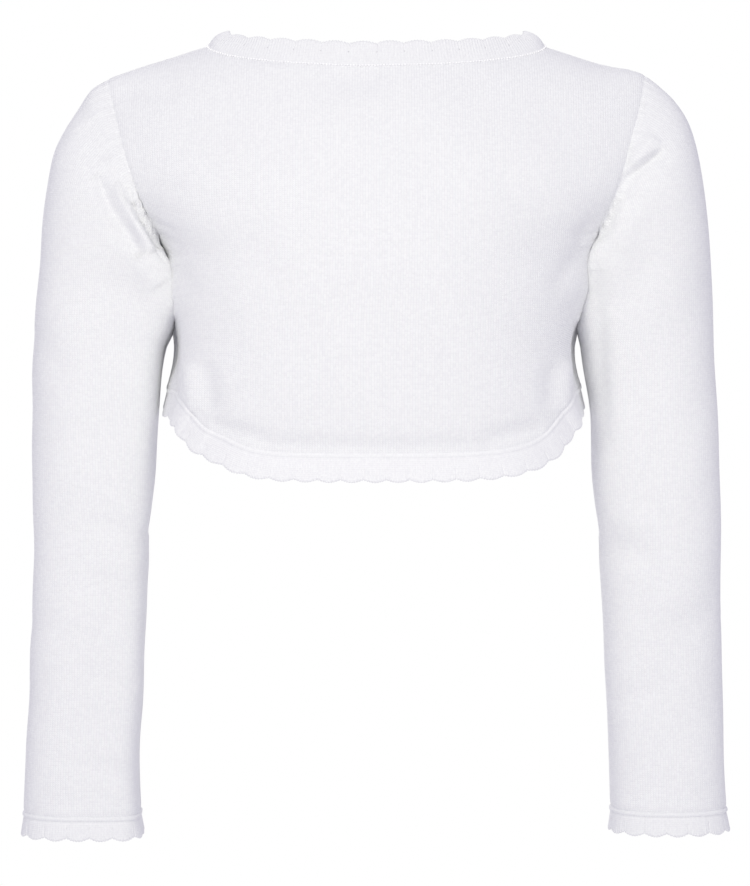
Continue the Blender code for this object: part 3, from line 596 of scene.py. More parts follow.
# ---- the torso as a surface ---------------------------------------------------------
def oval_table():
    """A quarter of the torso's oval section, by its fraction of arc from the middle."""
    turn = np.linspace(0.0, np.pi / 2.0, OVAL_SAMPLES)
    x = np.sin(turn)
    y = (1.0 - x ** OVAL_POWER) ** (1.0 / OVAL_POWER)
    arc = lengths_along(np.stack([x, y * OVAL_ASPECT], 1))
    return arc / arc[-1], x, y


OVAL_ARC, OVAL_X, OVAL_Y = oval_table()


def body_value(name, height):
    """A value of the torso's section at a height."""
    order = slice(None, None, -1)
    stations = column(BODY_SECTIONS, BODY_COLUMNS, "height")[order]
    return smooth_through(stations, column(BODY_SECTIONS, BODY_COLUMNS, name)[order], height)


def ridge_height(x):
    """Height of the shoulder ridge at a distance from the centre."""
    return RIDGE_TOP - RIDGE_SLOPE * (np.hypot(x, RIDGE_ROUND) - RIDGE_ROUND)


def arc_at(x, height):
    """Fraction of the quarter section at a distance from the centre."""
    return np.interp(x / body_value("half_width", height), OVAL_X, OVAL_ARC)


def left_hem_lift(x, height):
    """How much higher the left of the hem sits, fading out above it and at both ends."""
    span = (LEFT_HEM_LIFT_FROM, LEFT_HEM_LIFT_FULL, LEFT_HEM_LIFT_EASE, LEFT_HEM_LIFT_END)
    along = np.interp(x, span, (0.0, 1.0, 1.0, 0.0))
    down = np.clip((LEFT_HEM_LIFT_TOP - height) / LEFT_HEM_LIFT_FADE, 0.0, 1.0)
    return LEFT_HEM_LIFT * along ** 2 * down ** 2


def press_at(side, height):
    """Where body and sleeve meet at a height, how much fuller each is, and how far apart."""
    table = (LEFT_PRESS if side > 0 else RIGHT_PRESS)[::-1]
    stations = column(table, PRESS_COLUMNS, "height")
    rows = [np.interp(height, stations, column(table, PRESS_COLUMNS, name))
            for name in PRESS_COLUMNS[1:]]
    above = (height - PRESS_TOP) / PRESS_FADE_ABOVE
    below = (PRESS_LOW - height) / PRESS_FADE_BELOW
    return (*rows, PRESS_APART * np.clip(np.maximum(above, below), 0.0, 1.0))


def soft_limit(values, limit):
    """Values kept below a limit, with the corner rounded."""
    return limit - PRESS_ROUND * np.logaddexp(0.0, (limit - values) / PRESS_ROUND)


def body_point(arc, height, face, side):
    """A point of the torso's outer surface; face is +1 behind and -1 in front."""
    x = body_value("half_width", height) * np.interp(arc, OVAL_ARC, OVAL_X)
    below_ridge = np.clip(ridge_height(x) - height, 0.0, SHOULDER_FALL)
    fall = np.sqrt(1.0 - (1.0 - below_ridge / SHOULDER_FALL) ** SHOULDER_FALL_POWER)
    depth = body_value("back_depth" if face > 0 else "front_depth", height)
    y = depth * fall * np.interp(arc, OVAL_ARC, OVAL_Y) + SEAM_GAP / 2.0
    towards_tip = np.clip((x - TIP_LIFT_START) / TIP_LIFT_REACH, 0.0, 1.0)
    near_ridge = np.exp(-(below_ridge / TIP_LIFT_REACH) ** 2)
    lift = RIGHT_TIP_LIFT * towards_tip ** 2 * near_ridge if side < 0 else left_hem_lift(x, height)
    sway = body_value("sway", height)
    contact, widen, _, apart = press_at(side, height)
    x = x + widen * (x / body_value("half_width", height)) ** BODY_PRESS_POWER
    x = soft_limit(x, contact + PRESS_OVERLAP + apart - side * sway)
    return np.stack([side * x + sway, face * y, height + lift], -1)


def even_spacing(pattern, face, count):
    """A pattern line cut into steps of equal length on the torso."""
    points = body_point(pattern[:, 0], pattern[:, 1], face, 1)
    total = lengths_along(points)[-1]
    return at_lengths(points, pattern, np.linspace(0.0, total, count + 1))


def even_pattern_line(x, height, face, count):
    """A line drawn on the torso, as evenly spaced pattern points (arc, height)."""
    return even_spacing(np.stack([arc_at(x, height), height], 1), face, count)


def coons_grid(top, bottom, inner, outer):
    """Fills the pattern between four edges; rows run down, columns run outwards."""
    u = np.linspace(0.0, 1.0, len(top))[None, :, None]
    v = np.linspace(0.0, 1.0, len(inner))[:, None, None]
    across = inner[:, None] * (1.0 - u) + outer[:, None] * u
    down = top[None] * (1.0 - v) + bottom[None] * v
    corners = (top[0] * (1.0 - u) + top[-1] * u) * (1.0 - v)
    corners = corners + (bottom[0] * (1.0 - u) + bottom[-1] * u) * v
    return across + down - corners


def shoulder_line(count):
    x = np.linspace(NECK_HALF_WIDTH, SHOULDER_POINT_X, CURVE_SAMPLES)
    return even_pattern_line(x, ridge_height(x), 1, count)


def outer_line(face):
    """Armhole from the shoulder point to the underarm, then the side down to the hem."""
    tip = (ridge_height(SHOULDER_POINT_X), SHOULDER_POINT_X)
    heights = np.append(tip[0], column(ARMHOLE, ARMHOLE_COLUMNS, "height"))
    name = "back_x" if face > 0 else "front_x"
    xs = np.append(tip[1], column(ARMHOLE, ARMHOLE_COLUMNS, name))
    height = np.linspace(tip[0], UNDERARM_Z, CURVE_SAMPLES)
    x = smooth_through(heights[::-1], xs[::-1], height)
    armhole = even_pattern_line(x, height, face, ARMHOLE_ROWS)
    side_height = np.linspace(UNDERARM_Z, HEM_SIDE_Z, SIDE_ROWS + 1)
    side = np.stack([np.ones(SIDE_ROWS + 1), side_height], 1)
    armhole[-1] = side[0]
    return np.concatenate([armhole, side[1:]])


def hem_pattern():
    """Hem seam from the middle of the back to the side, as pattern points."""
    heights = column(HEM, HEM_COLUMNS, "height")
    arcs = np.append(arc_at(column(HEM, HEM_COLUMNS, "x"), heights), 1.0)
    heights = np.append(heights, HEM_SIDE_Z)
    fine = np.linspace(0.0, 1.0, CURVE_SAMPLES)
    return np.stack([fine, smooth_through(arcs, heights, fine)], 1)


def back_pattern():
    """Half of the back, from its middle to one armhole and side."""
    x = NECK_HALF_WIDTH * np.sin(np.linspace(0.0, np.pi / 2.0, CURVE_SAMPLES))
    drop = np.sqrt(np.clip(1.0 - (x / NECK_HALF_WIDTH) ** NECK_ROUNDNESS, 0.0, None))
    neck = even_pattern_line(x, ridge_height(NECK_HALF_WIDTH) - NECK_DROP * drop, 1, NECK_COLUMNS)
    top = np.concatenate([neck, shoulder_line(SHOULDER_COLUMNS)[1:]])
    bottom = even_spacing(hem_pattern(), 1, len(top) - 1)
    outer = outer_line(1)
    middle = np.stack([np.zeros(CURVE_SAMPLES), np.linspace(top[0, 1], bottom[0, 1], CURVE_SAMPLES)], 1)
    inner = even_spacing(middle, 1, len(outer) - 1)
    return coons_grid(top, bottom, inner, outer)


def front_pattern():
    """One front, from its rounded edge to the armhole and side."""
    xs = np.concatenate([[NECK_HALF_WIDTH], column(FRONT_EDGE, FRONT_EDGE_COLUMNS, "x")])
    heights = np.concatenate([[ridge_height(NECK_HALF_WIDTH)],
                              column(FRONT_EDGE, FRONT_EDGE_COLUMNS, "height")])
    arcs = np.append(arc_at(xs, heights), 1.0)
    heights = np.append(heights, HEM_SIDE_Z)
    stations = lengths_along(body_point(arcs, heights, -1, 1))
    fine = np.linspace(0.0, stations[-1], CURVE_SAMPLES)
    edge = np.stack([smooth_through(stations, arcs, fine), smooth_through(stations, heights, fine)], 1)
    corner = np.searchsorted(fine, stations[FRONT_CORNER_ROW + 1])
    outer = outer_line(-1)
    inner = even_spacing(edge[:corner + 1], -1, len(outer) - 1)
    bottom = even_spacing(edge[corner:], -1, FRONT_COLUMNS)
    return coons_grid(shoulder_line(FRONT_COLUMNS), bottom, inner, outer)


def knit_chart(pattern, face):
    """Stitch coordinates of pattern points: metres round from the middle and up from the hem."""
    arcs, heights = np.meshgrid(CHART_ARCS, CHART_HEIGHTS)
    points = body_point(arcs, heights, face, 1)
    across = grid_lengths(points, 1)
    up = grid_lengths(points, 0)
    column_at = pattern[..., 0] * (len(CHART_ARCS) - 1)
    span = CHART_HEIGHTS[-1] - CHART_HEIGHTS[0]
    row_at = (pattern[..., 1] - CHART_HEIGHTS[0]) / span * (len(CHART_HEIGHTS) - 1)
    i = np.clip(row_at.astype(int), 0, len(CHART_HEIGHTS) - 2)
    j = np.clip(column_at.astype(int), 0, len(CHART_ARCS) - 2)
    b, a = np.clip(row_at - i, 0.0, 1.0), np.clip(column_at - j, 0.0, 1.0)

    def read(table):
        low = table[i, j] * (1.0 - a) + table[i, j + 1] * a
        high = table[i + 1, j] * (1.0 - a) + table[i + 1, j + 1] * a
        return low * (1.0 - b) + high * b

    return np.stack([read(across), read(up)], -1)


# ---- folds and seams ----------------------------------------------------------------
def fold_relief(points, folds, side, middle_y):
    """How far each point moves out for the folds that cross it."""
    relief = np.zeros(points.shape[:-1])
    for row in folds:
        fold = dict(zip(FOLD_COLUMNS, row))
        start = np.array([fold["x1"], fold["z1"]])
        run = np.array([fold["x2"], fold["z2"]]) - start
        out = unit(np.array([abs(run[1]), -run[0] if run[1] < 0.0 else run[0]]))
        flat = np.stack([side * points[..., 0], points[..., 2]], -1) - start
        t = np.clip((flat @ run) / (run @ run), 0.0, 1.0)
        line = t[..., None] * run + (4.0 * fold["bow"] * t * (1.0 - t))[..., None] * out
        beside = flat - line
        which_flank = np.sign(run[0] * beside[..., 1] - run[1] * beside[..., 0])
        width = fold["half_width"] * (1.0 + fold["lean"] * which_flank)
        distance = np.linalg.norm(beside, axis=-1)
        taper = np.sqrt(np.clip(1.0 - np.abs(2.0 * t - 1.0) ** FOLD_END_POWER, 0.0, 1.0))
        taper = taper * FOLD_HEIGHT_TO_MIDDLE + FOLD_HEIGHT_AT_END
        facing = np.clip(0.5 + fold["face"] * (points[..., 1] - middle_y) / FOLD_FADE, 0.0, 1.0)
        relief += facing * fold["height"] * taper * np.exp(-(distance / width) ** 2)
    return relief


def seam_relief(distance, along, style):
    """The cloth dips into a seam and puckers a little beside it."""
    puckers, depth = SEAM_STYLES[style]
    dip = -SEAM_DIP * np.exp(-(distance / SEAM_DIP_REACH) ** 2)
    beat = np.sin(2.0 * np.pi * along / (PUCKER_BEAT * PUCKER_PITCH))
    uneven = PUCKER_STEADY + PUCKER_VARYING * beat
    wander = PUCKER_WANDER * np.sin(along / PUCKER_PITCH)
    wave = np.sin(2.0 * np.pi * along / PUCKER_PITCH + wander)
    beside = puckers * PUCKER_HEIGHT * uneven * wave * np.exp(-(distance / PUCKER_REACH) ** 2)
    return (dip + beside) * depth


def soft_sag(points, seed):
    """Broad unevenness of hanging cloth, under a millimetre."""
    rng = np.random.default_rng(seed)
    sag = np.zeros(points.shape[:-1])
    for size in SAG_SIZES:
        direction = unit(rng.normal(size=3))
        phase = rng.uniform(0.0, 2.0 * np.pi)
        sag += np.sin(points @ direction * 2.0 * np.pi / size + phase) * size * SAG_SHARE
    return sag


# ---- making meshes ------------------------------------------------------------------
def add_object(name, data):
    item = bpy.data.objects.new(name, data)
    bpy.context.scene.collection.objects.link(item)
    return item


def mesh_object(name, vertices, faces, charts, material):
    """A smooth closed mesh with stitch coordinates for each corner."""
    mesh = bpy.data.meshes.new(name)
    mesh.from_pydata(vertices.tolist(), [], faces)
    shell = bmesh.new()
    shell.from_mesh(mesh)
    bmesh.ops.recalc_face_normals(shell, faces=shell.faces)
    shell.to_mesh(mesh)
    shell.free()
    layer = mesh.uv_layers.new(name=KNIT_UV)
    corners = np.empty(len(mesh.loops), dtype=np.int32)
    mesh.loops.foreach_get("vertex_index", corners)
    layer.data.foreach_set("uv", charts[corners].astype(np.float32).ravel())
    mesh.shade_smooth()
    mesh.set_sharp_from_angle(angle=SHARP_ANGLE)
    mesh.materials.append(material)
    return add_object(name, mesh)


def swept_faces(stations, around, closed):
    """Quads between neighbouring sections; a closed sweep joins its last section to its first."""
    i = np.arange(stations if closed else stations - 1)[:, None]
    j = np.arange(around)[None, :]
    ahead = (i + 1) % stations
    beside = (j + 1) % around
    quads = np.stack([i * around + j, i * around + beside,
                      ahead * around + beside, ahead * around + j], -1)
    return quads.reshape(-1, 4).tolist()


def swept_object(name, sections, charts, closed, material):
    """Joins sections of equal point counts into a closed body."""
    stations, around = sections.shape[:2]
    faces = swept_faces(stations, around, closed)
    if not closed:
        faces.append(list(reversed(range(around))))
        faces.append([(stations - 1) * around + j for j in range(around)])
    return mesh_object(name, sections.reshape(-1, 3), faces, charts.reshape(-1, 2), material)


def wall_object(name, outer, inner, charts, material):
    """A panel of cloth: each row of the grid is one section of the wall."""
    sections = np.concatenate([outer, inner[:, ::-1]], axis=1)
    both = np.concatenate([charts, charts[:, ::-1]], axis=1)
    stations, around = sections.shape[:2]
    faces = swept_faces(stations, around, False)
    last = (stations - 1) * around
    for j in range(around // 2 - 1):
        under = around - 1 - j
        faces.append([j, under, under - 1, j + 1])
        faces.append([last + j, last + j + 1, last + under - 1, last + under])
    return mesh_object(name, sections.reshape(-1, 3), faces, both.reshape(-1, 2), material)


def finish_piece(piece, cut, nodes=None):
    """Hangs the piece on its body's empty and hides the solids it stands for, by default the one named as
    its cut.
    """
    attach(piece, BODY)
    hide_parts(*(nodes or (cut,)))


# ---- materials ----------------------------------------------------------------------
FLOAT = "NodeSocketFloat"


def feed(tree, socket, value):
    """Links a value that comes out of a node, or sets the socket's own value."""
    if hasattr(value, "is_linked"):
        tree.links.new(value, socket)
    else:
        socket.default_value = value


def add_node(tree, kind, inputs=None, **settings):
    """Adds a node with its settings, and feeds its inputs by name or place."""
    node = tree.nodes.new(kind)
    for name, value in settings.items():
        setattr(node, name, value)
    for key, value in (inputs or {}).items():
        feed(tree, node.inputs[key], value)
    return node


def math_node(tree, operation, *inputs):
    return add_node(tree, "ShaderNodeMath", dict(enumerate(inputs)), operation=operation).outputs[0]


def noise(tree, place, scale, detail):
    return add_node(tree, "ShaderNodeTexNoise",
                    {"Vector": place, "Scale": scale, "Detail": detail}).outputs["Fac"]


def mix_colors(tree, factor, first, second):
    mix = add_node(tree, "ShaderNodeMix", data_type="RGBA")
    for name, value in (("Factor", factor), ("A", first), ("B", second)):
        feed(tree, next(s for s in mix.inputs if s.name == name and s.enabled), value)
    return next(s for s in mix.outputs if s.enabled)


def new_group(name, kind, inputs, outputs):
    """A new node group with named sockets, and the insides of its input and output."""
    tree = bpy.data.node_groups.new(name, kind)
    for direction, sockets in (("INPUT", inputs), ("OUTPUT", outputs)):
        for label, socket_kind, *value in sockets:
            socket = tree.interface.new_socket(name=label, in_out=direction, socket_type=socket_kind)
            if value:
                socket.default_value = value[0]
    return tree, tree.nodes.new("NodeGroupInput").outputs, tree.nodes.new("NodeGroupOutput").inputs


def stitch_group():
    """Plain knit: each stitch column is a row of small V shapes."""
    found = bpy.data.node_groups.get("plain_knit_stitches")
    if found:
        return found
    tree, given, result = new_group(
        "plain_knit_stitches", "ShaderNodeTree",
        (("Stitch Width", FLOAT, 0.0014), ("Stitch Height", FLOAT, 0.00115),
         ("Lean", FLOAT, JERSEY_LEAN), ("Unevenness", FLOAT, COLUMN_WANDER)),
        (("Height", FLOAT), ("Column Shade", FLOAT), ("Stitch Tone", FLOAT)))
    chart = add_node(tree, "ShaderNodeUVMap", uv_map=KNIT_UV)
    split = add_node(tree, "ShaderNodeSeparateXYZ", {0: chart.outputs["UV"]})
    place = tree.nodes.new("ShaderNodeTexCoord").outputs["Object"]
    drift = math_node(tree, "SUBTRACT", noise(tree, place, COLUMN_WANDER_SCALE, 2.0), 0.5)
    drift = math_node(tree, "MULTIPLY", drift, given["Unevenness"])
    columns = math_node(tree, "DIVIDE", split.outputs[0], given["Stitch Width"])
    columns = math_node(tree, "ADD", columns, drift)
    rows = math_node(tree, "DIVIDE", split.outputs[1], given["Stitch Height"])
    rows = math_node(tree, "ADD", rows, drift)
    inside = math_node(tree, "SUBTRACT", math_node(tree, "FRACT", columns), 0.5)
    leg = math_node(tree, "MULTIPLY", math_node(tree, "ABSOLUTE", inside), 2.0)
    slope = math_node(tree, "MULTIPLY", leg, given["Lean"])
    turn = math_node(tree, "MULTIPLY", math_node(tree, "ADD", rows, slope), 2.0 * np.pi)
    bead = math_node(tree, "MULTIPLY_ADD", math_node(tree, "COSINE", turn), 0.5, 0.5)
    round_leg = math_node(tree, "SINE", math_node(tree, "MULTIPLY", leg, np.pi))
    round_leg = math_node(tree, "POWER", math_node(tree, "MAXIMUM", round_leg, 0.0), LEG_ROUNDNESS)
    crown = math_node(tree, "SUBTRACT", 1.0, math_node(tree, "POWER", leg, CROWN_POWER))
    column_top = math_node(tree, "MULTIPLY", crown, CROWN_SHARE)
    column_top = math_node(tree, "MULTIPLY_ADD", round_leg, LEG_SHARE, column_top)
    beads = math_node(tree, "MULTIPLY_ADD", bead, BEAD_SWING, BEAD_FLOOR)
    height = math_node(tree, "MULTIPLY", column_top, beads)
    cell = add_node(tree, "ShaderNodeCombineXYZ", {0: math_node(tree, "FLOOR", columns),
                                                   1: math_node(tree, "FLOOR", rows)})
    chance = add_node(tree, "ShaderNodeTexWhiteNoise", {"Vector": cell.outputs[0]}, noise_dimensions="2D")
    fuzz = math_node(tree, "MULTIPLY", noise(tree, place, YARN_FUZZ_SCALE, 3.0), YARN_FUZZ_HEIGHT)
    feed(tree, result["Height"], math_node(tree, "ADD", height, fuzz))
    feed(tree, result["Column Shade"], height)
    feed(tree, result["Stitch Tone"], chance.outputs["Value"])
    return tree


def mottle_group():
    """Faint broad changes of tone, as washed cotton has."""
    found = bpy.data.node_groups.get("cotton_tone")
    if found:
        return found
    tree, given, result = new_group("cotton_tone", "ShaderNodeTree",
                                    (("Size", FLOAT, COTTON_MOTTLE),), (("Tone", FLOAT),))
    place = tree.nodes.new("ShaderNodeTexCoord").outputs["Object"]
    broad = math_node(tree, "MULTIPLY", noise(tree, place, given["Size"], 3.0), 0.5)
    fine = noise(tree, place, FINE_MOTTLE, 2.0)
    feed(tree, result["Tone"], math_node(tree, "MULTIPLY_ADD", fine, 0.5, broad))
    return tree


def eyelet_group():
    """Painted shade: dark centres where the eyelets of a scalloped band are, standing for the shade in
    their openings.
    """
    found = bpy.data.node_groups.get("painted_eyelet_shade")
    if found:
        return found
    tree, given, result = new_group("painted_eyelet_shade", "ShaderNodeTree",
                                    (("Radius", FLOAT, EYELET_MASK_RADIUS),), (("Mask", FLOAT),))
    mark = add_node(tree, "ShaderNodeAttribute", attribute_name=EYELET_ATTRIBUTE)
    near = math_node(tree, "DIVIDE", mark.outputs["Fac"], given["Radius"])
    mask = math_node(tree, "SUBTRACT", 1.0, math_node(tree, "MINIMUM", near, 1.0))
    feed(tree, result["Mask"], math_node(tree, "POWER", mask, EYELET_MASK_POWER))
    return tree


def new_material(name, roughness):
    """A new material, its node tree and the inputs of its shader."""
    material = bpy.data.materials.new(name)
    material.use_nodes = True
    shader = material.node_tree.nodes["Principled BSDF"]
    shader.inputs["Roughness"].default_value = roughness
    return material, material.node_tree, shader.inputs


def opaque(color, share=1.0):
    return (*(channel * share for channel in color), 1.0)


def knit_material(name, color, stitch_width, stitch_height, relief, lean, eyelets=False):
    """White cotton knit: stitches raised by bump, painted shade between them, a dry matt face."""
    found = bpy.data.materials.get(name)
    if found:
        return found
    material, tree, shader = new_material(name, KNIT_ROUGHNESS)
    shader["Specular IOR Level"].default_value = KNIT_SPECULAR
    shader["Sheen Weight"].default_value = KNIT_SHEEN
    shader["Sheen Roughness"].default_value = KNIT_SHEEN_ROUGHNESS
    sizes = {"Stitch Width": stitch_width, "Stitch Height": stitch_height, "Lean": lean}
    stitches = add_node(tree, "ShaderNodeGroup", sizes, node_tree=stitch_group()).outputs
    tone = add_node(tree, "ShaderNodeGroup", node_tree=mottle_group()).outputs["Tone"]
    base = mix_colors(tree, tone, opaque(color, MOTTLE_DARKEST), opaque(color))
    # Painted shade between the stitches, by each stitch's height, with a random tone per stitch on top
    shade = math_node(tree, "MULTIPLY_ADD", stitches["Column Shade"], COLUMN_CONTRAST, COLUMN_BRIGHTNESS)
    shade = math_node(tree, "MULTIPLY_ADD", stitches["Stitch Tone"], STITCH_CHANCE, shade)
    base = mix_colors(tree, shade, opaque(bpy.context.scene.shrug_cloth.painted_stitch_shade), base)
    # Painted shade at the eyelets
    if eyelets:
        eyelet_shade_mask = add_node(tree, "ShaderNodeGroup", node_tree=eyelet_group())
        base = mix_colors(tree, eyelet_shade_mask.outputs["Mask"], base, EYELET_PAINTED_SHADE)
    feed(tree, shader["Base Color"], base)
    bump = add_node(tree, "ShaderNodeBump", {"Strength": KNIT_BUMP, "Distance": relief,
                                             "Height": stitches["Height"]})
    feed(tree, shader["Normal"], bump.outputs["Normal"])
    return material


def jersey_material():
    cloth = bpy.context.scene.shrug_cloth
    return knit_material("white_cotton_jersey", cloth.jersey, cloth.wale, cloth.course,
                         cloth.relief, JERSEY_LEAN)


def band_material(tone):
    cloth = bpy.context.scene.shrug_cloth
    # Painted light and shade: the hem's copy of the colour is lighter, the neck's is darker
    return knit_material("white_ribbed_band_painted_shading_" + tone, cloth.hem if tone == "hem" else cloth.band,
                         RIB_STITCH_WIDTH, RIB_STITCH_HEIGHT, cloth.relief * RIB_RELIEF_SHARE,
                         RIB_LEAN, eyelets=True)


def thread_material(name, dim, bright):
    """Smoother cotton of the sewing and linking stitches."""
    found = bpy.data.materials.get(name)
    if found:
        return found
    material, tree, shader = new_material(name, THREAD_ROUGHNESS)
    tone = add_node(tree, "ShaderNodeGroup", {"Size": THREAD_MOTTLE}, node_tree=mottle_group())
    feed(tree, shader["Base Color"], mix_colors(tree, tone.outputs["Tone"], dim, bright))
    return material


# ---- the shell of the garment -------------------------------------------------------
_shell = {}
seams = {}


def panel_surface(part, pattern, face, side):
    """Outer surface of one half of the back, or of one front, with its folds and seams."""
    grid = body_point(pattern[..., 0], pattern[..., 1], face, side)
    normals = face * side * grid_normals(grid)
    across, down = grid_lengths(grid, 1), grid_lengths(grid, 0)
    to_outer = across[:, -1:] - across
    to_hem = down[-1:, :] - down
    in_armhole = (np.arange(grid.shape[0]) <= ARMHOLE_ROWS)[:, None]
    relief = fold_relief(grid, LEFT_BODY_FOLDS if side > 0 else RIGHT_BODY_FOLDS, side, 0.0)
    relief += np.where(in_armhole, seam_relief(to_outer, down[:, -1:], "armhole"),
                       seam_relief(to_outer, down[:, -1:], "side"))
    relief += seam_relief(to_hem, across[-1:, :], "hem")
    relief += seam_relief(down, across[:1, :], "top")
    if part == "front":
        relief += seam_relief(across, down[:, :1], "front_edge")
    edge_fade = np.clip(np.minimum(down, to_hem) / SAG_FADE, SAG_AT_EDGE, 1.0)
    relief += (soft_sag(grid, BODY_SAG_SEED) - SAG_SHARE * SAG_LOWERING) * edge_fade
    knit = knit_chart(pattern, face)
    knit[..., 0] *= side
    return grid + normals * relief[..., None], normals, knit


def build_shell():
    """Outer surfaces of the panels, worked out once and shared by the operators."""
    if not _shell:
        patterns = (("back", back_pattern(), 1), ("front", front_pattern(), -1))
        for name, side in SIDES:
            for part, pattern, face in patterns:
                _shell[name + "_" + part] = panel_surface(part, pattern, face, side)
    return _shell


def inner_wall(outer, normals, thickness, face=0):
    """The cloth's inner face; a panel's stays on its own side of the seam plane."""
    inner = outer - normals * thickness
    if face:
        inner[..., 1] = face * np.maximum(face * inner[..., 1], SEAM_GAP / 2.0)
    return inner


def whole_back():
    """Both halves of the back as one grid, from the right armhole to the left one."""
    shell = build_shell()
    left, right = shell["left_back"], shell["right_back"]
    return [np.concatenate([r[:, :0:-1], l], axis=1) for l, r in zip(left, right)]


def rounded(turn, inner):
    """Cosine and sine of an oval's corners, fuller or flatter on its inner half."""
    fullness = np.where(np.cos(turn) < 0.0, inner, OUTER_FULLNESS)
    return [np.sign(wave) * np.abs(wave) ** (2.0 / fullness) for wave in (np.cos(turn), np.sin(turn))]


def armhole_loop(name):
    """The armhole's edge, down the back from the shoulder point and up the front."""
    shell = build_shell()
    back_edge = shell[name + "_back"][0][:ARMHOLE_ROWS + 1, -1]
    front_edge = shell[name + "_front"][0][:ARMHOLE_ROWS + 1, -1]
    loop = np.concatenate([back_edge, front_edge[-2:0:-1]])
    loop[0, 1] = 0.0
    loop[ARMHOLE_ROWS, 1] = 0.0
    return loop


def sleeve_rings(ring, at, count, side):
    """Plain rings of a sleeve: leaning ovals, squarer on the side towards the body."""
    turn = 2.0 * np.pi * np.arange(count) / count
    fullness = LEFT_FULLNESS if side > 0 else RIGHT_FULLNESS
    across, deep = rounded(turn, np.interp(at, FULLNESS_ROWS, fullness)[:, None])
    swing = (1.0 + across) / 2.0
    x = ring["under_x"] + (ring["crest_x"] - ring["under_x"]) * swing
    z = ring["under_z"] + (ring["crest_z"] - ring["under_z"]) * swing
    depth = ring["half_depth"] * deep
    middle_z = (ring["crest_z"] + ring["under_z"]) / 2.0
    lean = np.gradient(ring["middle_y"][:, 0], middle_z[:, 0])[:, None]
    return np.stack([side * x, depth + ring["middle_y"], z - lean * depth], -1)


def pressed_out(grid, ring, side):
    """Sideways places of a sleeve's points where the body holds them back."""
    contact, _, widen, apart = press_at(side, grid[..., 2])
    out = side * grid[..., 0]
    inward = np.clip((ring["crest_x"] - out) / (ring["crest_x"] - ring["under_x"]), 0.0, 1.0)
    towards_body = widen * inward ** SLEEVE_PRESS_POWER - out
    return out, -soft_limit(towards_body, PRESS_OVERLAP + apart - contact)


def sleeve_surface(name):
    """Outer surface of a sleeve, hung on the armhole edges of the back and the front."""
    side = dict(SIDES)[name]
    table, folds = (LEFT_SLEEVE, LEFT_SLEEVE_FOLDS) if side > 0 else (RIGHT_SLEEVE, RIGHT_SLEEVE_FOLDS)
    loop = armhole_loop(name)
    drop = loop[ARMHOLE_ROWS] - loop[0]
    leave = unit(np.array([-side * drop[2], 0.0, side * drop[0]])) * SEAM_GAP
    rows = np.arange(len(table), dtype=float)
    at = np.linspace(0.0, rows[-1], SLEEVE_RINGS + 1)
    ring = {key: smooth_through(rows, column(table, SLEEVE_COLUMNS, key), at)[:, None]
            for key in SLEEVE_COLUMNS}
    grid = sleeve_rings(ring, at, len(loop), side)
    settle = np.clip(1.0 - at / ROWS_TO_ROUND, 0.0, 1.0)[:, None, None]
    grid = grid + (loop + leave - grid[0]) * settle * settle
    out, pressed = pressed_out(grid, ring, side)
    from_seam = np.clip(at / PRESS_START_ROWS, 0.0, 1.0)[:, None]
    grid[..., 0] = side * (out + (pressed - out) * from_seam)
    normals = -side * grid_normals(grid, wrap=True)
    down = grid_lengths(grid, 0)
    around = lengths_along(np.concatenate([loop, loop[:1]]))[:-1][None, :]
    relief = fold_relief(grid, folds, side, ring["middle_y"])
    relief += seam_relief(down, around, "sleeve_head")
    relief += SEAM_DIP * np.exp(-(down / SLEEVE_HEAD_RISE) ** 2)
    relief += seam_relief(down[-1:, :] - down, around, "wrist")
    relief += soft_sag(grid, SLEEVE_SAG_SEED + side) * np.clip(down / SLEEVE_SAG_FADE, 0.0, 1.0)
    relief *= np.clip(down / SLEEVE_RELIEF_FADE, 0.0, 1.0)
    outer = grid + normals * relief[..., None]
    return outer, -side * grid_normals(outer, wrap=True)


def sleeve_chart(outer):
    """Stitch coordinates of a sleeve: round from its crest, up from its wrist."""
    ring = np.concatenate([outer, outer[:, :1]], axis=1)
    around = grid_lengths(ring, 1)
    half = outer.shape[1] // 2
    signed = np.where(np.arange(ring.shape[1]) <= half, around, around - around[:, -1:])
    up = grid_lengths(outer[::-1], 0)[::-1]
    return np.stack([signed[:, :-1], up], -1)


# ---- operators ----------------------------------------------------------------------
class SHRUG_OT_back(bpy.types.Operator):
    """Knit the back panel"""

    bl_idname = "shrug.back"
    bl_label = "Back"

    def execute(self, context):
        grid, normals, knit = whole_back()
        inner = inner_wall(grid, normals, context.scene.shrug_cloth.thickness, 1)
        piece = wall_object("back_jersey", grid, inner, knit, jersey_material())
        finish_piece(piece, "back")
        return {"FINISHED"}


class SHRUG_OT_fronts(bpy.types.Operator):
    """Knit the two rounded fronts"""

    bl_idname = "shrug.fronts"
    bl_label = "Fronts"

    def execute(self, context):
        shell = build_shell()
        for name in ("left", "right"):
            grid, normals, knit = shell[name + "_front"]
            inner = inner_wall(grid, normals, context.scene.shrug_cloth.thickness, -1)
            piece = wall_object(name + "_front_jersey", grid, inner, knit, jersey_material())
            finish_piece(piece, name + "_front")
        return {"FINISHED"}


class SHRUG_OT_sleeves(bpy.types.Operator):
    """Knit the two sleeves"""

    bl_idname = "shrug.sleeves"
    bl_label = "Sleeves"

    def execute(self, context):
        thickness = context.scene.shrug_cloth.thickness
        for name in ("left", "right"):
            outer, normals = sleeve_surface(name)
            inner = inner_wall(outer, normals, thickness)
            chart = sleeve_chart(outer)
            rings = np.concatenate([outer, inner[::-1]])
            charts = np.concatenate([chart, chart[::-1]])
            piece = swept_object(name + "_sleeve_jersey", np.swapaxes(rings, 0, 1),
                                 np.swapaxes(charts, 0, 1), True, jersey_material())
            nodes = (name + "_upper_sleeve", name + "_lower_sleeve")
            finish_piece(piece, name + "_sleeve", nodes)
        return {"FINISHED"}


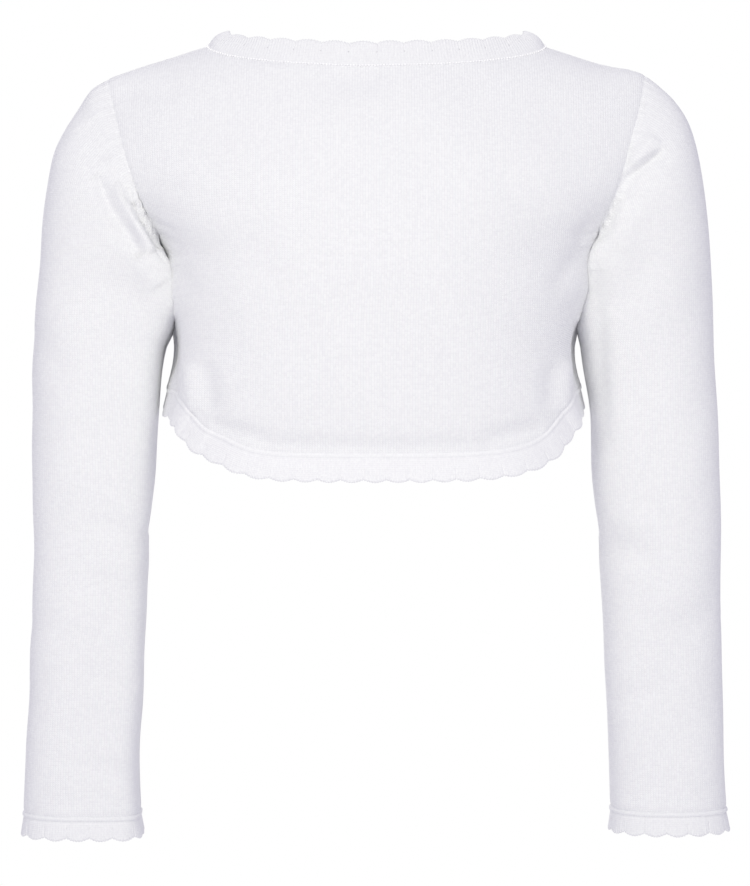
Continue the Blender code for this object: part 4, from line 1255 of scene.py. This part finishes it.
# ---- bands --------------------------------------------------------------------------
def blend_neighbours(vectors, passes):
    """Evens out a row of vectors, keeping its two ends."""
    for _ in range(passes):
        middle = (vectors[:-2] + 2.0 * vectors[1:-1] + vectors[2:]) / 4.0
        vectors = np.concatenate([vectors[:1], middle, vectors[-1:]])
    return vectors


def edge_frames(side):
    """One side's edge from the middle of the neck round the front to the middle of the hem."""
    shell = build_shell()
    name = "left" if side > 0 else "right"
    back, back_normals, _ = shell[name + "_back"]
    front, front_normals, _ = shell[name + "_front"]
    parts = ((back[0, :NECK_COLUMNS + 1], back_normals[0, :NECK_COLUMNS + 1]),
             (front[:, 0], front_normals[:, 0]),
             (front[-1, 1:], front_normals[-1, 1:]),
             (back[-1, ::-1], back_normals[-1, ::-1]))
    points = np.concatenate([part[0] for part in parts])
    normals = np.concatenate([part[1] for part in parts])
    marks = np.cumsum([len(parts[0][0]), len(parts[1][0]) + len(parts[2][0])])
    normals = unit(blend_neighbours(normals, EDGE_BLENDS))
    smooth = blend_neighbours(points, EDGE_BLENDS)
    tangents = unit(np.gradient(smooth, axis=0))
    away = unit(blend_neighbours(side * np.cross(tangents, normals), EDGE_BLENDS))
    along = lengths_along(points)
    shoulder, hem_corner = along[marks[0]], along[marks[1]]
    to_shoulder = np.clip(along / shoulder, 0.0, 1.0) ** 2
    stand = NECK_STAND + (SHOULDER_STAND - NECK_STAND) * to_shoulder
    stand = stand * np.exp(-(np.clip(along - shoulder, 0.0, None) / NECK_STAND_FADE) ** 2)
    rolls = SHOULDER_ROLL * np.exp(-((along - shoulder) / SHOULDER_ROLL_REACH) ** 2)
    at_side = SIDE_FLARE * np.exp(-((along - hem_corner) / SIDE_FLARE_REACH) ** 2)
    flare = at_side + np.clip((along - shoulder) / NECK_STAND_FADE - 0.5, 0.0, 1.0) * FRONT_FLARE
    behind = np.clip((along - hem_corner) / SIDE_FLARE_REACH, 0.0, 1.0)
    flare = flare + HEM_FLARE * behind * normals[:, 1] ** 4
    away = away + stand[:, None] * np.array([0.0, 0.0, 1.0]) + flare[:, None] * normals
    for mark in marks:
        for vectors in (away, normals):
            vectors[mark - 1:mark + 1] = vectors[mark - 1:mark + 1].mean(axis=0)
    return points, unit(away), unit(normals), rolls, marks


def band_line(path, count, closed):
    """Even places along a band's seam, each with the way the band runs and faces there."""
    points, away, normals, rolls = path
    if closed:
        points, away, normals = [np.concatenate([p, p[:1]]) for p in (points, away, normals)]
    total = lengths_along(points)[-1]
    place = np.linspace(0.0, total, count + 1)
    if closed:
        place = place[:-1]
    base = at_lengths(points, points, place)
    out = unit(at_lengths(points, away, place))
    normal = unit(at_lengths(points, normals, place))
    normal = unit(normal - out * np.sum(normal * out, axis=1, keepdims=True))
    roll = 0.0 if closed else at_lengths(points, rolls[:, None], place)
    return total, place, base, out, normal, roll


def band_relief(band, settings, down, share, lobe, rib, from_valley):
    """How far a band's face stands out: ribs, ridge, lobes and eyelets."""
    rib_start, rib_ease = RIB_START_WITH_RIDGE if band["ridge"] else RIB_START_PLAIN
    fade = np.clip((down - rib_start) / rib_ease, 0.0, 1.0)
    relief = band["rib"] * settings.rib_height * rib[:, None] * (RIB_AT_SEAM + RIB_GROWTH * share) * fade
    if band["ridge"]:
        crest = np.clip(down / RIDGE_WIDTH, 0.0, 1.0)
        relief += band["ridge"] * np.sin(np.pi * crest) ** RIDGE_POWER
        relief -= RIDGE_FOOT * band["ridge"] * np.exp(-((down - RIDGE_WIDTH) / RIDGE_FOOT_REACH) ** 2)
    relief += band["puff"] * lobe[:, None] * share ** 2
    eyelet_at = band["width"] - band["depth"] - EYELET_INSET
    eyelet_distance = np.hypot(from_valley[:, None], down - eyelet_at)
    relief -= EYELET_DEPTH * np.exp(-(eyelet_distance / EYELET_RADIUS) ** 2)
    below = np.clip((down - eyelet_at) / VALLEY_GROOVE_START, 0.0, 1.0)
    relief -= VALLEY_GROOVE * below * np.exp(-(from_valley[:, None] / VALLEY_GROOVE_WIDTH) ** 2)
    return relief, eyelet_distance


def ribbed_band(name, path, band, closed, context):
    """A ribbed band with a scalloped, toothed edge and an eyelet in each valley."""
    settings = context.scene.shrug_bands
    thickness = settings.thickness
    per_scallop = band["ribs"] * STEPS_PER_RIB
    total, place, base, out, normal, roll = band_line(path, band["scallops"] * per_scallop, closed)
    step = np.arange(len(place))
    lobe = np.abs(np.sin(np.pi * step / per_scallop))
    rib = 0.5 - 0.5 * np.cos(2.0 * np.pi * step / STEPS_PER_RIB)
    from_valley = np.abs((step / per_scallop + 0.5) % 1.0 - 0.5) * (total / band["scallops"])
    reach = band["width"] - band["depth"] * (1.0 - lobe) + settings.tooth * (rib - 0.5)

    share = np.linspace(0.0, 1.0, BAND_OUTER_ROWS + 1)[None, :]
    down = share * reach[:, None]
    relief, eyelet_distance = band_relief(band, settings, down, share, lobe, rib, from_valley)
    relief += roll * np.sin(np.pi * share)
    thinning = np.clip((share - EDGE_THINNING_FROM) / EDGE_THINNING_REACH, 0.0, 1.0) ** 2
    outer = base[:, None] + out[:, None] * (down + SEAM_GAP)[..., None]
    outer = outer + normal[:, None] * (relief - thickness * thinning * EDGE_THINNING)[..., None]

    share_in = np.linspace(1.0, 0.0, BAND_INNER_ROWS + 1)[None, :]
    down_in = share_in * (reach[:, None] - INNER_EDGE_INSET)
    lift = band["puff"] * lobe[:, None] * share_in ** 2 + roll * np.sin(np.pi * share_in)
    lift[:, 0] += INNER_TIP_LIFT * thickness
    inner = base[:, None] + out[:, None] * (down_in + SEAM_GAP)[..., None]
    inner = inner - normal[:, None] * (thickness - lift)[..., None]
    tip = (outer[:, -1:] + inner[:, :1]) / 2.0 + out[:, None] * EDGE_TIP

    sections = np.concatenate([outer, tip, inner], axis=1)
    charts_down = np.concatenate([down, reach[:, None], down_in], axis=1)
    charts = np.stack([np.broadcast_to(place[:, None], charts_down.shape), charts_down], -1)
    piece = swept_object(name + "_ribs", sections, charts, closed, band_material(band["tone"]))
    far = np.full((len(place), 1 + down_in.shape[1]), 1.0)
    marks = np.concatenate([eyelet_distance * band["eyelet"], far], axis=1).astype(np.float32)
    attribute = piece.data.attributes.new(EYELET_ATTRIBUTE, "FLOAT", "POINT")
    attribute.data.foreach_set("value", marks.ravel())
    finish_piece(piece, name)
    seams[name] = (base, out, normal)


class SHRUG_OT_bands(bpy.types.Operator):
    """Knit the ribbed bands round the neck, fronts, hem and wrists"""

    bl_idname = "shrug.bands"
    bl_label = "Bands"

    def execute(self, context):
        neck, hem = [], []
        for name, side in SIDES:
            *frames, marks = edge_frames(side)
            front = [part[marks[0]:marks[1]] for part in frames]
            ribbed_band(name + "_front_band", front, FRONT_BAND, False, context)
            neck.append([part[:marks[0]] for part in frames])
            hem.append([part[marks[1]:] for part in frames])
            outer, normals = sleeve_surface(name)
            along = unit(outer[-1] - outer[-1 - CUFF_AIM_RINGS]).mean(axis=0)
            flared = unit(along + CUFF_FLARE * normals[-1])
            ribbed_band(name + "_cuff", (outer[-1], flared, normals[-1], None), CUFF, True, context)
        neck_path = [np.concatenate([left[::-1], right[1:]]) for left, right in zip(*neck)]
        hem_path = [np.concatenate([left, right[-2::-1]]) for left, right in zip(*hem)]
        ribbed_band("neckband", neck_path, NECKBAND, False, context)
        ribbed_band("hem_band", hem_path, HEM_BAND, False, context)
        return {"FINISHED"}


# ---- stitching by geometry nodes ----------------------------------------------------
def stitch_tree():
    """Lays one small stitch on each point, along its run and facing out."""
    found = bpy.data.node_groups.get("laid_stitches")
    if found:
        return found
    tree, given, result = new_group(
        "laid_stitches", "GeometryNodeTree",
        (("Geometry", "NodeSocketGeometry"), ("Stitch Length", FLOAT, 0.0010),
         ("Stitch Width", FLOAT, 0.0005), ("Slant", FLOAT, 0.0), ("Seed", "NodeSocketInt", 0),
         ("Material", "NodeSocketMaterial")),
        (("Geometry", "NodeSocketGeometry"),))
    bead = add_node(tree, "GeometryNodeMeshIcoSphere", {"Radius": 0.5, "Subdivisions": 2})
    axes = {}
    for place, name in enumerate(("run", "out")):
        node = add_node(tree, "GeometryNodeInputNamedAttribute", data_type="FLOAT_VECTOR")
        node.inputs["Name"].default_value = name
        axes[place] = next(s for s in node.outputs if s.name == "Attribute" and s.enabled)
    turn = add_node(tree, "FunctionNodeAxesToRotation", axes, primary_axis="X", secondary_axis="Z")
    slant = add_node(tree, "ShaderNodeCombineXYZ", {"Z": given["Slant"]})
    tilt = add_node(tree, "FunctionNodeRotateRotation", {0: turn.outputs[0], 1: slant.outputs[0]},
                    rotation_space="LOCAL")
    least, most = STITCH_EVENNESS
    uneven = add_node(tree, "FunctionNodeRandomValue", {2: least, 3: most, "Seed": given["Seed"]})
    long = math_node(tree, "MULTIPLY", given["Stitch Length"], uneven.outputs[1])
    wide = math_node(tree, "MULTIPLY", given["Stitch Width"], uneven.outputs[1])
    size = add_node(tree, "ShaderNodeCombineXYZ", {"X": long, "Y": wide, "Z": wide})
    lay = add_node(tree, "GeometryNodeInstanceOnPoints",
                   {"Points": given["Geometry"], "Instance": bead.outputs["Mesh"],
                    "Rotation": tilt.outputs[0], "Scale": size.outputs[0]})
    real = add_node(tree, "GeometryNodeRealizeInstances", {0: lay.outputs[0]})
    paint = add_node(tree, "GeometryNodeSetMaterial",
                     {"Geometry": real.outputs[0], "Material": given["Material"]})
    feed(tree, result[0], paint.outputs[0])
    return tree


def lay_stitches(name, seam_places, size, slant, seed, thread):
    """Runs the stitch tree over a row of places and keeps the result as a plain mesh."""
    points, run, out = seam_places
    guide = bpy.data.meshes.new(name + "_places")
    guide.from_pydata(points.tolist(), [], [])
    for key, vectors in (("run", run), ("out", out)):
        attribute = guide.attributes.new(key, "FLOAT_VECTOR", "POINT")
        attribute.data.foreach_set("vector", vectors.astype(np.float32).ravel())
    maker = add_object(name + "_maker", guide)
    modifier = maker.modifiers.new("stitches", "NODES")
    modifier.node_group = stitch_tree()
    length, width = size
    values = {"Stitch Length": length, "Stitch Width": width, "Slant": slant,
              "Seed": seed, "Material": thread}
    for item in modifier.node_group.interface.items_tree:
        if item.in_out == "INPUT" and item.name in values:
            modifier[item.identifier] = values[item.name]
    ready = maker.evaluated_get(bpy.context.evaluated_depsgraph_get())
    mesh = bpy.data.meshes.new_from_object(ready)
    bpy.data.objects.remove(maker, do_unlink=True)
    mesh.name = name
    mesh.shade_smooth()
    piece = add_object(name, mesh)
    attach(piece, BODY)


def stitch_places(seam, pitch, closed, sink, lift):
    """Evenly spaced places along a band's seam, a little down the band and out from it."""
    base, out, normal = seam
    line = base + out * sink + normal * lift
    if closed:
        line, normal = [np.concatenate([p, p[:1]]) for p in (line, normal)]
    total = lengths_along(line)[-1]
    count = int(total / pitch)
    places = (np.arange(count) + 0.5) * total / count
    points = at_lengths(line, line, places)
    facing = unit(at_lengths(line, normal, places))
    ahead = at_lengths(line, line, np.clip(places + STITCH_AIM, 0.0, total))
    behind = at_lengths(line, line, np.clip(places - STITCH_AIM, 0.0, total))
    return points, unit(ahead - behind), facing


class SHRUG_OT_stitching(bpy.types.Operator):
    """Lay the linking chain of the neck and the slanting stitches of the ridges"""

    bl_idname = "shrug.stitching"
    bl_label = "Stitching"

    def execute(self, context):
        settings = context.scene.shrug_bands
        if not seams:
            raise RuntimeError("the bands have to be knitted before their stitching")
        linking = thread_material("white_linking_thread", LINKING_DIM, LINKING_BRIGHT)
        sewing = thread_material("white_sewing_thread", SEWING_DIM, SEWING_BRIGHT)
        pitch = settings.chain_pitch
        chain = stitch_places(seams["neckband"], pitch, False, CHAIN_SINK, CHAIN_LIFT)
        lay_stitches("neck_chain", chain, (pitch * CHAIN_FILL, CHAIN_WIDTH), 0.0, settings.seed, linking)
        rows = (("hem_band", False, HEM_BAND), ("left_cuff", True, CUFF), ("right_cuff", True, CUFF),
                ("left_front_band", False, FRONT_BAND), ("right_front_band", False, FRONT_BAND))
        for offset, (name, closed, band) in enumerate(rows):
            places = stitch_places(seams[name], settings.ridge_pitch, closed,
                                   RIDGE_WIDTH / 2.0, band["ridge"] * RIDGE_STITCH_LIFT)
            lay_stitches(name + "_ridge_stitches", places, (RIDGE_STITCH_LENGTH, RIDGE_STITCH_WIDTH),
                         RIDGE_STITCH_SLANT, settings.seed + offset, sewing)
        return {"FINISHED"}


# ---- stage --------------------------------------------------------------------------
def look_along(direction):
    """Turn that points an object's -Z along a direction, with its Y up."""
    return Vector(direction).to_track_quat("-Z", "Y").to_euler()


def lay_floor(height):
    half = FLOOR_SIZE / 2.0
    corners = [(-half, -half), (half, -half), (half, half), (-half, half)]
    mesh = bpy.data.meshes.new("floor")
    mesh.from_pydata([(x, y, height) for x, y in corners], [], [(0, 1, 2, 3)])
    paint, _, shader = new_material("pale_floor", FLOOR_ROUGHNESS)
    shader["Base Color"].default_value = FLOOR_COLOR
    mesh.materials.append(paint)
    add_object("floor", mesh)


def surround(strength):
    """A pure white backdrop, with a softer sky that lights the cloth."""
    world = bpy.data.worlds.new("white_surround")
    world.use_nodes = True
    tree = world.node_tree
    sky = tree.nodes["Background"]
    sky.inputs["Color"].default_value = SKY_COLOR
    sky.inputs["Strength"].default_value = strength
    white = add_node(tree, "ShaderNodeBackground", {"Color": (1.0, 1.0, 1.0, 1.0)})
    seen = tree.nodes.new("ShaderNodeLightPath").outputs["Is Camera Ray"]
    choose = add_node(tree, "ShaderNodeMixShader", {0: seen, 1: sky.outputs[0], 2: white.outputs[0]})
    feed(tree, tree.nodes["World Output"].inputs["Surface"], choose.outputs[0])
    bpy.context.scene.world = world


def hang_softboxes():
    for name, place, size, power in SOFTBOXES:
        light = bpy.data.lights.new(name + "_softbox", "AREA")
        light.shape = "DISK"
        light.size = size
        light.energy = power
        light.color = LAMP_COLOR
        lamp = add_object(name + "_softbox", light)
        lamp.location = place
        lamp.rotation_euler = look_along(np.array(AIM) - np.array(place))


def set_camera(stage):
    """Level with the middle of the garment, straight behind it."""
    camera = bpy.data.cameras.new("camera")
    camera.sensor_width = SENSOR
    camera.lens = SENSOR * stage.camera_distance / stage.frame_height
    camera.clip_start = CLIP_START
    holder = add_object("camera", camera)
    holder.location = (stage.eye_side, stage.camera_distance, stage.eye_height)
    holder.rotation_euler = look_along((0.0, -1.0, 0.0))
    bpy.context.scene.camera = holder


class SHRUG_OT_stage(bpy.types.Operator):
    """Set the floor, the soft light and the camera"""

    bl_idname = "shrug.stage"
    bl_label = "Stage"

    def execute(self, context):
        stage = context.scene.shrug_stage
        lay_floor(stage.floor_drop)
        surround(stage.sky)
        hang_softboxes()
        set_camera(stage)
        context.scene.view_settings.view_transform = "Standard"
        return {"FINISHED"}


# ---- panel and registration ---------------------------------------------------------
class SHRUG_PT_panel(bpy.types.Panel):
    """Lists the shrug's settings and the operators that make its pieces"""

    bl_idname = "SHRUG_PT_panel"
    bl_label = "Knitted shrug"
    bl_space_type = "VIEW_3D"
    bl_region_type = "UI"
    bl_category = "Shrug"

    def draw(self, context):
        layout = self.layout
        for group in (context.scene.shrug_cloth, context.scene.shrug_bands, context.scene.shrug_stage):
            box = layout.box()
            for name in group.bl_rna.properties.keys():
                if name not in ("rna_type", "name"):
                    box.prop(group, name)
        for operator in OPERATORS:
            layout.operator(operator.bl_idname)


SETTINGS = (("shrug_cloth", ShrugClothSettings), ("shrug_bands", ShrugBandSettings),
            ("shrug_stage", ShrugStageSettings))
OPERATORS = (SHRUG_OT_stage, SHRUG_OT_back, SHRUG_OT_fronts, SHRUG_OT_sleeves,
             SHRUG_OT_bands, SHRUG_OT_stitching)


def register():
    for name, group in SETTINGS:
        bpy.utils.register_class(group)
        setattr(bpy.types.Scene, name, PointerProperty(type=group))
    for operator in OPERATORS:
        bpy.utils.register_class(operator)
    bpy.utils.register_class(SHRUG_PT_panel)


def unregister():
    bpy.utils.unregister_class(SHRUG_PT_panel)
    for operator in reversed(OPERATORS):
        bpy.utils.unregister_class(operator)
    for name, group in reversed(SETTINGS):
        delattr(bpy.types.Scene, name)
        bpy.utils.unregister_class(group)


def main():
    register()
    bpy.ops.shrug.stage()
    bpy.ops.shrug.back()
    bpy.ops.shrug.fronts()
    bpy.ops.shrug.sleeves()
    bpy.ops.shrug.bands()
    bpy.ops.shrug.stitching()


if __name__ == "__main__":
    main()
